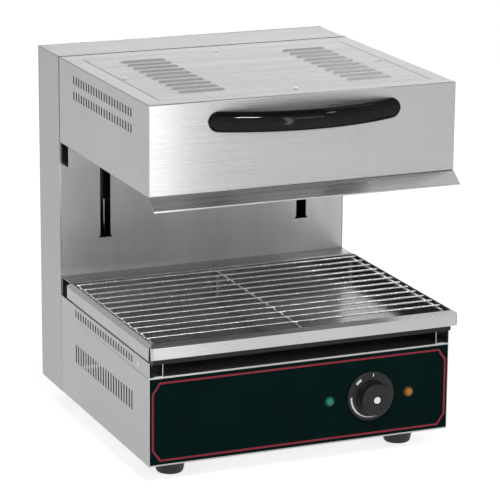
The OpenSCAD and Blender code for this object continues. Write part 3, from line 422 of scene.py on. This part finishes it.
def is_bend(edge, least):
    """Whether an edge is an outside corner between two broad faces."""
    if len(edge.link_faces) != 2 or not edge.is_convex:
        return False
    if edge.calc_face_angle() < LEAST_BEND:
        return False
    return all(is_broad(face, least) for face in edge.link_faces)


def folded_sheet(node, look, bend, least=2.5, steps=3):
    """Stands for a CAD sheet-metal node: the same faces, with its outside bends rounded."""
    shape = bmesh.new()
    shape.from_mesh(frame["nodes"][node].data)
    bmesh.ops.remove_doubles(shape, verts=shape.verts, dist=SAME_POINT)
    bmesh.ops.dissolve_limit(shape, angle_limit=SAME_FLAT, verts=shape.verts, edges=shape.edges)
    for face in shape.faces:
        face.smooth = False
    bends = [edge for edge in shape.edges if is_bend(edge, least * MM)]
    rounds = bmesh.ops.bevel(
        shape, geom=bends, offset=bend * MM, segments=steps, profile=0.5, affect="EDGES"
    )
    for face in rounds["faces"]:
        face.smooth = True
    return add_piece(f"{node}_sheet", shape, look, node)


# Each sheet's look, the size of its outside bends in mm, and where they differ, the least
# width in mm at which a face counts as broad and the steps round a bend
SHEETS = {
    "head_casing": dict(look="steel", bend=1.6),
    "head_top_cover": dict(look="cover", bend=0.5, least=1.2),
    "deflector": dict(look="steel", bend=0.4, least=1.2, steps=2),
    "base_shell": dict(look="steel", bend=0.9),
    "control_fascia": dict(look="steel", bend=0.7),
    "deck_plate": dict(look="steel", bend=0.4),
    "side_rail_left": dict(look="steel", bend=0.8),
    "side_rail_right": dict(look="steel", bend=0.8),
    "pan_runner_left": dict(look="steel", bend=0.5),
    "pan_runner_right": dict(look="steel", bend=0.5),
    "rear_ledge": dict(look="steel", bend=1.2),
    "column_shell": dict(look="upright_steel", bend=1.6),
    "column_liner": dict(look="liner", bend=0.6),
    "column_back_cover": dict(look="upright_steel", bend=0.5),
    "grill_pan": dict(look="pan_steel", bend=1.2, least=3.0),
}
# The upright part of the normal of a louvre's slope lies between these
LOUVRE_SLOPE = (0.85, 0.985)
# Faces inside the pan's basin lie more than the first of these in from the pan's outside and
# more than the second above its underside. Faces behind the skirt lie more than the third in.
BASIN_INSET = 7.8 * MM
BASIN_RISE = 0.5 * MM
SKIRT_INSET = 1.5 * MM


def paint_louvre_sheen(cover):
    """The pressed slopes of the louvres, made lighter than the flat sheet: a painted sheen for the
    light they catch.
    """
    cover.data.materials.append(MATERIALS["louvre_sheen"])
    steep, flat = LOUVRE_SLOPE
    for face in cover.data.polygons:
        if steep < face.normal.z < flat:
            face.material_index = 1


def is_inside(face, low, high, margin):
    """Whether a face's centre lies within a box, seen from above, by more than a margin."""
    x, y, _ = face.center
    return low.x + margin < x < high.x - margin and low.y + margin < y < high.y - margin


def paint_pan_shade(pan):
    """Darker steel inside the pan's walls: painted shade, with stains in it. Near black on what its
    skirt hides: painted shade.
    """
    low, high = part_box("grill_pan")
    pan.data.materials.append(MATERIALS["basin"])
    pan.data.materials.append(MATERIALS["dark"])
    for face in pan.data.polygons:
        if is_inside(face, low, high, BASIN_INSET) and face.center.z > low.z + BASIN_RISE:
            face.material_index = 1
        # Faces hidden by the skirt get near black: painted shade for the gap under it
        elif is_inside(face, low, high, SKIRT_INSET) and face.normal.z < 0.1:
            face.material_index = 2


def add_sheets():
    sheets = {node: folded_sheet(node, **values) for node, values in SHEETS.items()}
    paint_louvre_sheen(sheets["head_top_cover"])
    paint_pan_shade(sheets["grill_pan"])


# ---------------------------------------------------------------- handle

HANDLE_STEPS = 90
# The length of a pad, the grip's thickness, the pad's thickness at its tip, the depth of the
# round front, the round of the back's edges, and the length of the rounded tip
HANDLE_PAD = 52 * MM
HANDLE_GRIP = 12 * MM
HANDLE_PAD_TIP = 6 * MM
HANDLE_NOSE = 10.5 * MM
HANDLE_EASE = 2 * MM
HANDLE_END = 8 * MM
# The part of the pad's thickness that is left at the very tip
HANDLE_END_LEFT = 0.45
# Keeps the first and last section just inside the tips, where the height would be nothing
JUST_INSIDE = 0.9995


def bow(x, half, rise, base):
    """How far an arc of a given half length and rise stands out at x."""
    radius = (half * half + rise * rise) / (2 * rise)
    return base + rise - radius + math.sqrt(radius * radius - x * x)


def add_handle():
    """The bowed grip: flat pads on the head, and a full round front between them."""
    low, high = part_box("handle")
    middle_x = (low.x + high.x) / 2
    middle_z = (low.z + high.z) / 2
    face_y = high.y
    half = (high.x - low.x) / 2
    out = high.y - low.y
    tall = (high.z - low.z) / 2
    gap = half - HANDLE_PAD
    shape = bmesh.new()
    rings = []
    for i in range(HANDLE_STEPS + 1):
        x = -half * math.cos(math.pi * i / HANDLE_STEPS) * JUST_INSIDE
        from_end = half - abs(x)
        height = math.sqrt(tall**2 - max(tall - from_end, 0) ** 2)
        front = bow(x, half, out - HANDLE_PAD_TIP, HANDLE_PAD_TIP)
        back = bow(x, gap, out - HANDLE_GRIP, 0) if abs(x) < gap else 0.0
        near_end = min(1, from_end / HANDLE_END)
        rounding = math.sqrt(near_end * (2 - near_end))
        depth = (front - back) * (HANDLE_END_LEFT + (1 - HANDLE_END_LEFT) * rounding)
        ring = grip_section(height, back, back + depth)
        rings.append([(middle_x + x, face_y - y, middle_z + z) for y, z in ring])
    loops = skin(shape, rings)
    cap(shape, loops[0])
    cap(shape, loops[-1], flip=True)
    bmesh.ops.recalc_face_normals(shape, faces=shape.faces)
    add_piece("handle_grip", shape, "black", "handle", sharp=50)


def grip_section(height, back, front):
    """One section of the grip, as distances out from the head and up from its middle."""
    # Thin sections near the tips have smaller rounds
    depth = front - back
    nose = min(HANDLE_NOSE, depth * 0.88)
    ease = min(HANDLE_EASE, depth * 0.2, height * 0.4)
    # Each arc's centre, its two radii, its first and last angle, and its steps
    arcs = [
        (back + ease, height - ease, ease, ease, 180, 90, 6),
        (front - nose, 0, nose, height, 90, -90, 28),
        (back + ease, ease - height, ease, ease, -90, -180, 6),
    ]
    points = []
    for y, z, wide, tall, start, end, steps in arcs:
        for k in range(steps + 1):
            a = math.radians(start + (end - start) * k / steps)
            points.append((y + wide * math.cos(a), z + tall * math.sin(a)))
    return points


# ---------------------------------------------------------------- controls

# The printed line's distance from the panel's sides, foot and top, its width, and how much of
# its corners is cut off along X and along Z
BORDER_INSET = 2.7 * MM
BORDER_FOOT = 4.32 * MM
BORDER_TOP = 4.86 * MM
BORDER_WIDTH = 2.8 * MM
BORDER_CHAMFER = (11 * MM, 16 * MM)
# The cut corners keep the line's width, so their legs shrink by this part of an inset
CHAMFER_SHRINK = (0.45, 0.6)
# How far the print stands out
PRINT_HEIGHT = 0.06 * MM


def add_border():
    """The red line printed round the panel, with its corners cut off."""
    low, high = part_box("control_overlay")
    shape = bmesh.new()
    cut_x, cut_z = BORDER_CHAMFER
    shrink_x, shrink_z = CHAMFER_SHRINK
    loops = []
    for inset, out in ((0, 0), (0, PRINT_HEIGHT), (BORDER_WIDTH, PRINT_HEIGHT), (BORDER_WIDTH, 0)):
        left = low.x + BORDER_INSET + inset
        right = high.x - BORDER_INSET - inset
        bottom = low.z + BORDER_FOOT + inset
        top = high.z - BORDER_TOP - inset
        dx = cut_x - inset * shrink_x
        dz = cut_z - inset * shrink_z
        y = low.y - out
        loops.append(
            [
                (left, y, bottom + dz), (left, y, top - dz), (left + dx, y, top),
                (right - dx, y, top), (right, y, top - dz), (right, y, bottom + dz),
                (right - dx, y, bottom), (left + dx, y, bottom),
            ]
        )
    skin(shape, loops)
    bmesh.ops.recalc_face_normals(shape, faces=shape.faces)
    add_piece("panel_border", shape, "red", "control_overlay", stands_for=False)


def add_overlay():
    """The printed panel film, with its front edges eased."""
    folded_sheet("control_overlay", "film", 0.2, least=3.0, steps=2)


# How far a lamp's lens stands out of the panel
LENS_OUT = 4.8 * MM


def add_lamp(node, lens_look, rim_look):
    """An indicator lamp: a stepped rim and a cut lens with ten sides."""
    low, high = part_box(node)
    at = ((low.x + high.x) / 2, high.y, (low.z + high.z) / 2)
    radius = (high.x - low.x) / 2
    # How far out the panel's face is from the lamp's back end
    panel = high.y - low.y - LENS_OUT
    rim = bmesh.new()
    turned(
        rim,
        [
            (radius * 0.62, 0), (radius * 0.62, panel), (radius * 0.97, panel),
            (radius, panel + 0.3 * MM), (radius * 0.98, panel + 0.9 * MM),
            (radius * 0.90, panel + 1.5 * MM), (radius * 0.80, panel + 1.7 * MM),
            (radius * 0.70, panel + 1.2 * MM),
        ],
        at, (0, -1, 0), 48,
    )
    add_piece(f"{node}_rim", rim, rim_look, node, sharp=40)
    cut = bmesh.new()
    turned(
        cut,
        [
            (radius * 0.72, panel + 0.6 * MM), (radius * 0.72, panel + 2.0 * MM),
            (radius * 0.64, panel + 3.1 * MM), (radius * 0.44, panel + 4.1 * MM),
            (radius * 0.20, panel + 4.7 * MM),
        ],
        at, (0, -1, 0), 10,
    )
    add_piece(f"{node}_lens", cut, lens_look, node, stands_for=False)


# The knob's outline as radii and distances out from its back, in mm. The skirt's slope, with
# the marks on it, is the last step of the first list.
KNOB_SKIRT = [(35.5, 0.0), (35.5, 2.1), (35.3, 2.6), (34.7, 3.0), (33.9, 3.2), (25.4, 3.9)]
KNOB_GRIP = [
    (24.9, 4.0), (24.3, 4.4), (24.0, 5.2), (23.5, 13.0), (23.0, 21.2), (22.7, 22.3),
    (22.0, 23.1), (21.0, 23.5), (20.2, 23.55), (8.0, 23.5), (6.4, 23.3), (5.9, 22.7), (5.8, 21.8),
]
# How far a mark's back and its face are out from the skirt, in mm
MARK_SUNK = -0.1
MARK_PROUD = 0.12
ARC_STEPS = 40


def knob_point(centre, back_y, radius, angle, lift):
    """A point over the knob's skirt, by its radius and its angle from three o'clock."""
    (edge_r, edge_out), (root_r, root_out) = KNOB_SKIRT[-2:]
    inward = (edge_r - radius) / (edge_r - root_r)
    out = edge_out + (root_out - edge_out) * inward + lift
    a = math.radians(angle)
    x, z = centre[0] + radius * MM * math.cos(a), centre[1] + radius * MM * math.sin(a)
    return (x, back_y - out * MM, z)


def skirt_mark(shape, centre, back_y, path):
    """A raised mark on the skirt. The path lists an angle, a middle radius and a width."""
    corners = ((-1, MARK_SUNK), (-1, MARK_PROUD), (1, MARK_PROUD), (1, MARK_SUNK))
    rings = []
    for angle, radius, width in path:
        ring = []
        for side, lift in corners:
            r = radius + side * width / 2
            ring.append(knob_point(centre, back_y, r, angle, lift))
        rings.append(ring)
    loops = skin(shape, rings)
    cap(shape, loops[0])
    cap(shape, loops[-1], flip=True)


def add_knob():
    """The skirted knob, with its pointer and its heat scale."""
    low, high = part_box("knob")
    centre = ((low.x + high.x) / 2, (low.z + high.z) / 2)
    at = (centre[0], high.y, centre[1])
    shape = bmesh.new()
    turned(shape, [(r * MM, out * MM) for r, out in KNOB_SKIRT + KNOB_GRIP], at, (0, -1, 0), 96)
    add_piece("knob_body", shape, "charcoal", "knob", sharp=38)

    marks = bmesh.new()
    # The pointer block at half past ten, a tick at the top, and the heat scale's tapered arc
    skirt_mark(marks, centre, high.y, [(121.5 + 3 * k, 29.6, 3.2) for k in range(7)])
    skirt_mark(marks, centre, high.y, [(a, 30.3, 4.4) for a in (83.0, 85.8)])
    arc = []
    # The arc swells a little, thins from its middle on, and ends in an arrow's head
    for k in range(ARC_STEPS + 1):
        t = k / ARC_STEPS
        width = 2.3 + 0.4 * math.sin(math.pi * min(1, t * 2)) - 1.7 * max(0, t - 0.55) / 0.45
        arc.append((178 + 108 * t, 30.2, width))
    arc += [(287, 30.2, 3.4), (289.5, 30.2, 2.2), (292, 30.2, 0.4)]
    skirt_mark(marks, centre, high.y, arc)
    bmesh.ops.recalc_face_normals(marks, faces=marks.faces)
    add_piece("knob_marks", marks, "white", "knob", stands_for=False)


def add_knob_cap():
    """The silver ring in the middle of the knob, round a slotted screw."""
    low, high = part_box("knob_cap")
    at = Vector(((low.x + high.x) / 2, high.y, (low.z + high.z) / 2))
    radius = (high.x - low.x) / 2
    shape = bmesh.new()
    turned(
        shape,
        [
            (radius, 0), (radius, 1.6 * MM), (radius * 0.93, 1.95 * MM), (radius * 0.74, 1.95 * MM),
            (radius * 0.66, 1.6 * MM), (radius * 0.64, 0.7 * MM),
        ],
        at, (0, -1, 0), 48,
    )
    slotted_disc(shape, at, radius * 0.56, 0.6 * MM, 1.7 * MM, 0.9 * MM, math.radians(80))
    add_piece("knob_cap_ring", shape, "bright", "knob_cap", sharp=35)


DISC_STEPS = 18


def slotted_disc(shape, at, radius, low, high, slot, angle):
    """A screw's head that faces -Y, in two halves with a slot between them."""
    for side in (0, math.pi):
        rings = []
        start = math.asin(slot / 2 / radius)
        for out, shrink in ((low, 1.0), (high - 0.2 * MM, 1.0), (high, 0.92)):
            ring = []
            for k in range(DISC_STEPS + 1):
                a = start + (math.pi - 2 * start) * k / DISC_STEPS
                x = radius * shrink * math.cos(a)
                z = max(radius * shrink * math.sin(a), slot / 2)
                turn = angle + side
                ring.append(
                    (
                        at[0] + x * math.cos(turn) - z * math.sin(turn),
                        at[1] - out,
                        at[2] + x * math.sin(turn) + z * math.cos(turn),
                    )
                )
            rings.append(ring)
        loops = skin(shape, rings)
        cap(shape, loops[0], flip=True)
        cap(shape, loops[-1])


# ---------------------------------------------------------------- screws, rivets, feet, welds


def islands(node):
    """The box of each separate solid of a CAD node."""
    shape = bmesh.new()
    shape.from_mesh(frame["nodes"][node].data)
    bmesh.ops.remove_doubles(shape, verts=shape.verts, dist=SAME_POINT)
    left = set(shape.verts)
    boxes = []
    while left:
        reached = [left.pop()]
        points = []
        while reached:
            vert = reached.pop()
            points.append(vert.co.copy())
            for edge in vert.link_edges:
                other = edge.other_vert(vert)
                if other in left:
                    left.remove(other)
                    reached.append(other)
        low = Vector([min(p[i] for p in points) for i in range(3)])
        high = Vector([max(p[i] for p in points) for i in range(3)])
        boxes.append((low, high))
    shape.free()
    return boxes


# How far the cross recesses are turned
CROSS_TURN = math.radians(20)


def cross_head(shape, seat, axis, radius, rise, shank_r, shank):
    """A pan-head screw with a cross recess. The seat is under its head, the axis points out."""
    turned(
        shape,
        [
            (shank_r, -shank), (shank_r, 0), (radius, 0), (radius, rise * 0.35),
            (radius * 0.9, rise * 0.68), (radius * 0.68, rise * 0.88), (radius * 0.5, rise * 0.96),
        ],
        seat, axis, 32,
    )
    turn = Vector((0, 0, 1)).rotation_difference(Vector(axis)).to_matrix()
    # The crown is four quadrants that leave the cross open between them
    reach, arm = radius * 0.5, radius * 0.1
    for quarter in range(4):
        spin = Matrix.Rotation(quarter * math.pi / 2 + CROSS_TURN, 3, "Z")
        rings = []
        for z in (rise * 0.9, rise):
            ring = [(arm, arm, z), (reach * 0.9, arm, z)]
            for k in range(1, 4):
                a = math.radians(12 + 22 * k)
                ring.append((reach * 0.98 * math.cos(a), reach * 0.98 * math.sin(a), z))
            ring.append((arm, reach * 0.9, z))
            rings.append([Vector(seat) + turn @ (spin @ Vector(p)) for p in ring])
        loops = skin(shape, rings)
        cap(shape, loops[0], flip=True)
        cap(shape, loops[-1])


# The height of a screw's head and the radius of its shank
COVER_SCREW = (1.8 * MM, 1.5 * MM)
BACK_SCREW = (2.2 * MM, 2.0 * MM)


def add_screws():
    """The screws of the top cover and of the column's back cover."""
    cover = bmesh.new()
    rise, shank_r = COVER_SCREW
    for low, high in islands("cover_screws"):
        radius = (high.x - low.x) / 2
        seat = ((low.x + high.x) / 2, (low.y + high.y) / 2, high.z - rise)
        cross_head(cover, seat, (0, 0, 1), radius, rise, shank_r, seat[2] - low.z)
    add_piece("cover_screw_heads", cover, "bright", "cover_screws", sharp=40)
    back = bmesh.new()
    rise, shank_r = BACK_SCREW
    for low, high in islands("back_cover_screws"):
        radius = (high.x - low.x) / 2
        seat = ((low.x + high.x) / 2, high.y - rise, (low.z + high.z) / 2)
        cross_head(back, seat, (0, 1, 0), radius, rise, shank_r, seat[1] - low.y)
    add_piece("back_screw_heads", back, "bright", "back_cover_screws", sharp=40)


def add_rivets():
    """The domed rivets at the front of each side rail, with the dimple of a drawn pin."""
    shape = bmesh.new()
    for low, high in islands("rail_rivets"):
        side = 1 if high.x > 0 else -1
        radius = (high.z - low.z) / 2
        depth = high.x - low.x
        inner = low.x if side > 0 else high.x
        at = (inner, (low.y + high.y) / 2, (low.z + high.z) / 2)
        shank_r, rise = 1.5 * MM, 0.9 * MM
        profile = [(shank_r, 0), (shank_r, depth - rise), (radius, depth - rise)]
        # The head's dome and its dimple, as parts of its radius and of its height
        dome = ((0.96, 0.55), (0.75, 0.15), (0.5, 0), (0.36, 0), (0.3, 0.5))
        profile += [(radius * r, depth - rise * under) for r, under in dome]
        turned(shape, profile, at, (side, 0, 0), 32)
    add_piece("rail_rivet_heads", shape, "bright", "rail_rivets", sharp=45)


def add_foot(node):
    """A tapered rubber foot with a rounded tread and the deep hole for its screw."""
    low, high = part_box(node)
    at = ((low.x + high.x) / 2, (low.y + high.y) / 2, low.z)
    tall = high.z - low.z
    top_r = (high.x - low.x) / 2
    tread_r = top_r - 6 * MM
    # Down through the screw's hole, across the tread and up the outside
    profile = [(3.2 * MM, tall), (3.2 * MM, tall / 2), (8 * MM, tall / 2), (8 * MM, 0.6 * MM)]
    profile += [(8.6 * MM, 0), (tread_r - 3 * MM, 0), (tread_r - 1.2 * MM, 0.4 * MM)]
    profile += [(tread_r - 0.1 * MM, 1.4 * MM), (tread_r + 0.6 * MM, 3 * MM)]
    profile += [(top_r - 0.8 * MM, tall - 1.6 * MM), (top_r, tall - 0.8 * MM), (top_r, tall)]
    shape = bmesh.new()
    turned_ring(shape, profile, at, 64)
    add_piece(f"{node}_rubber", shape, "rubber", node, sharp=40)


def turned_ring(shape, profile, at, steps):
    """A round form about Z whose section is a closed line, such as a foot with a hole."""
    loops = []
    for i in range(steps):
        a = 2 * math.pi * i / steps
        x, y = math.cos(a), math.sin(a)
        ring = [(at[0] + r * x, at[1] + r * y, at[2] + z) for r, z in profile]
        loops.append([shape.verts.new(point) for point in ring])
    count = len(profile)
    for i in range(steps):
        near, far = loops[i], loops[(i + 1) % steps]
        for j in range(count):
            k = (j + 1) % count
            shape.faces.new((near[j], near[k], far[k], far[j]))
    bmesh.ops.recalc_face_normals(shape, faces=shape.faces)


# A weld's place beside its wire and above the wire's underside, and its three radii
WELD_SIDE = 1.1 * MM
WELD_RISE = 0.1 * MM
WELD_RADII = (1.7 * MM, 0.8 * MM, 0.7 * MM)


def add_welds():
    """A small spot weld at each crossing of the rack."""
    shape = bmesh.new()
    wires = islands("rack_wires")
    for bar_low, bar_high in islands("rack_bars"):
        x = (bar_low.x + bar_high.x) / 2
        for low, high in wires:
            y = (low.y + high.y) / 2
            for side in (-1, 1):
                at = Vector((x, y + side * WELD_SIDE, low.z + WELD_RISE))
                place = Matrix.Translation(at) @ Matrix.Diagonal((*WELD_RADII, 1))
                bmesh.ops.create_icosphere(shape, subdivisions=2, radius=1.0, matrix=place)
    add_piece("rack_spot_welds", shape, "wire", "rack_wires", stands_for=False, sharp=60)


# ---------------------------------------------------------------- studio


def seen_mix(tree, seen, lit):
    """Shows one shader to the camera, in mirrors and through glass, and another to the rest."""
    path = tree.nodes.new("ShaderNodeLightPath")
    total = path.outputs["Is Camera Ray"]
    for kind in ("Is Glossy Ray", "Is Transmission Ray"):
        either = tree.nodes.new("ShaderNodeMath")
        either.operation = "MAXIMUM"
        tree.links.new(total, either.inputs[0])
        tree.links.new(path.outputs[kind], either.inputs[1])
        total = either.outputs[0]
    mix = tree.nodes.new("ShaderNodeMixShader")
    tree.links.new(total, mix.inputs[0])
    tree.links.new(lit.outputs[0], mix.inputs[1])
    tree.links.new(seen.outputs[0], mix.inputs[2])
    return mix


# Half the floor's width, its shade, and the glow that makes it white where it is seen
FLOOR_HALF = 30.0
FLOOR_SHADE = 0.45
FLOOR_GLOW = 0.74


def add_floor():
    """A plain floor that keeps its shadow and looks white to the camera and in mirrors."""
    mesh = bpy.data.meshes.new("floor")
    h = FLOOR_HALF
    mesh.from_pydata([(-h, -h, 0), (h, -h, 0), (h, h, 0), (-h, h, 0)], [], [(0, 1, 2, 3)])
    floor = bpy.data.objects.new("floor", mesh)
    bpy.context.scene.collection.objects.link(floor)
    material = bpy.data.materials.new("studio_floor")
    material.use_nodes = True
    tree = material.node_tree
    tree.nodes.clear()
    out = tree.nodes.new("ShaderNodeOutputMaterial")
    diffuse = tree.nodes.new("ShaderNodeBsdfDiffuse")
    diffuse.inputs["Color"].default_value = grey(FLOOR_SHADE)
    glow = tree.nodes.new("ShaderNodeEmission")
    glow.inputs["Color"].default_value = grey(1)
    glow.inputs["Strength"].default_value = FLOOR_GLOW
    both = tree.nodes.new("ShaderNodeAddShader")
    tree.links.new(diffuse.outputs[0], both.inputs[0])
    tree.links.new(glow.outputs[0], both.inputs[1])
    mix = seen_mix(tree, both, diffuse)
    tree.links.new(mix.outputs[0], out.inputs[0])
    mesh.materials.append(material)


# The world's light at the horizon, a little above it and overhead, and the upright parts
# of the directions between which it changes
WORLD_HORIZON = 1.0
WORLD_LOW = 0.8
WORLD_HIGH = 0.385
WORLD_NEAR_STEP = (0.10, 0.20)
WORLD_FAR_STEP = (0.50, 0.85)


def fall_off(tree, height, heights, values):
    """A smooth step from one value to the next between two heights."""
    step = tree.nodes.new("ShaderNodeMapRange")
    step.interpolation_type = "SMOOTHSTEP"
    step.inputs["From Min"].default_value, step.inputs["From Max"].default_value = heights
    step.inputs["To Min"].default_value, step.inputs["To Max"].default_value = values
    tree.links.new(height, step.inputs["Value"])
    return step.outputs[0]


def add_world():
    """White at the horizon and grey overhead, as in a studio with a dark ceiling."""
    world = bpy.data.worlds.new("studio")
    bpy.context.scene.world = world
    world.use_nodes = True
    tree = world.node_tree
    tree.nodes.clear()
    out = tree.nodes.new("ShaderNodeOutputWorld")
    sky = tree.nodes.new("ShaderNodeBackground")
    where = tree.nodes.new("ShaderNodeTexCoord")
    parts = tree.nodes.new("ShaderNodeSeparateXYZ")
    sky.inputs["Color"].default_value = grey(1)
    tree.links.new(where.outputs["Generated"], parts.inputs[0])
    height = parts.outputs["Z"]
    both = tree.nodes.new("ShaderNodeMath")
    both.operation = "MULTIPLY"
    near = fall_off(tree, height, WORLD_NEAR_STEP, (WORLD_HORIZON, WORLD_LOW))
    far = fall_off(tree, height, WORLD_FAR_STEP, (1.0, WORLD_HIGH / WORLD_LOW))
    tree.links.new(near, both.inputs[0])
    tree.links.new(far, both.inputs[1])
    tree.links.new(both.outputs[0], sky.inputs["Strength"])
    tree.links.new(sky.outputs[0], out.inputs[0])


def add_softbox(name, at, toward, size, power):
    """A rectangular light that the camera doesn't see."""
    data = bpy.data.lights.new(name, "AREA")
    data.shape = "RECTANGLE"
    data.size, data.size_y = size
    data.energy = power
    light = bpy.data.objects.new(name, data)
    light.location = at
    aim = Vector(toward) - Vector(at)
    light.rotation_euler = aim.to_track_quat("-Z", "Y").to_euler()
    light.visible_camera = False
    bpy.context.scene.collection.objects.link(light)


# Each light's place, what it points at, its width and height, and its power in watts
LIGHTS = {
    # Brightens the left end of the front faces
    "front_strip": dict(
        at=(0.080, -1.05, 0.49), toward=(-0.2, -0.25, 0.40), size=(0.06, 0.88), power=0.68
    ),
    # Three lamps make the glints on the handle
    "handle_lamp_left": dict(
        at=(-0.41, -1.80, 1.86), toward=(-0.1, -0.25, 0.47), size=(0.42, 0.08), power=17
    ),
    "handle_lamp_middle": dict(
        at=(0.50, -1.70, 0.95), toward=(0, -0.25, 0.47), size=(0.5, 0.02), power=1.1
    ),
    "handle_lamp_right": dict(
        at=(0.95, -1.20, 1.75), toward=(0.05, -0.25, 0.47), size=(0.13, 0.13), power=1.2
    ),
    # Two softboxes light the top faces
    "top_softbox": dict(at=(1.45, 0.0, 2.6), toward=(0, 0, 0.4), size=(0.4, 0.8), power=2),
    "rear_softbox": dict(at=(1.25, 1.95, 1.2), toward=(0, 0, 0.5), size=(1.8, 0.8), power=6.4),
}


# ---------------------------------------------------------------- the scene

add_camera()
add_world()
add_floor()
for light, values in LIGHTS.items():
    add_softbox(light, **values)
dress_nodes()
add_sheets()
add_handle()
add_overlay()
add_border()
add_lamp("power_lamp", "green", "green_rim")
add_lamp("heating_lamp", "amber", "amber_rim")
add_knob()
add_knob_cap()
add_screws()
add_rivets()
for end in ("front", "rear"):
    for side in ("left", "right"):
        add_foot(f"foot_{end}_{side}")
add_welds()

bpy.context.scene.view_settings.view_transform = "Standard"
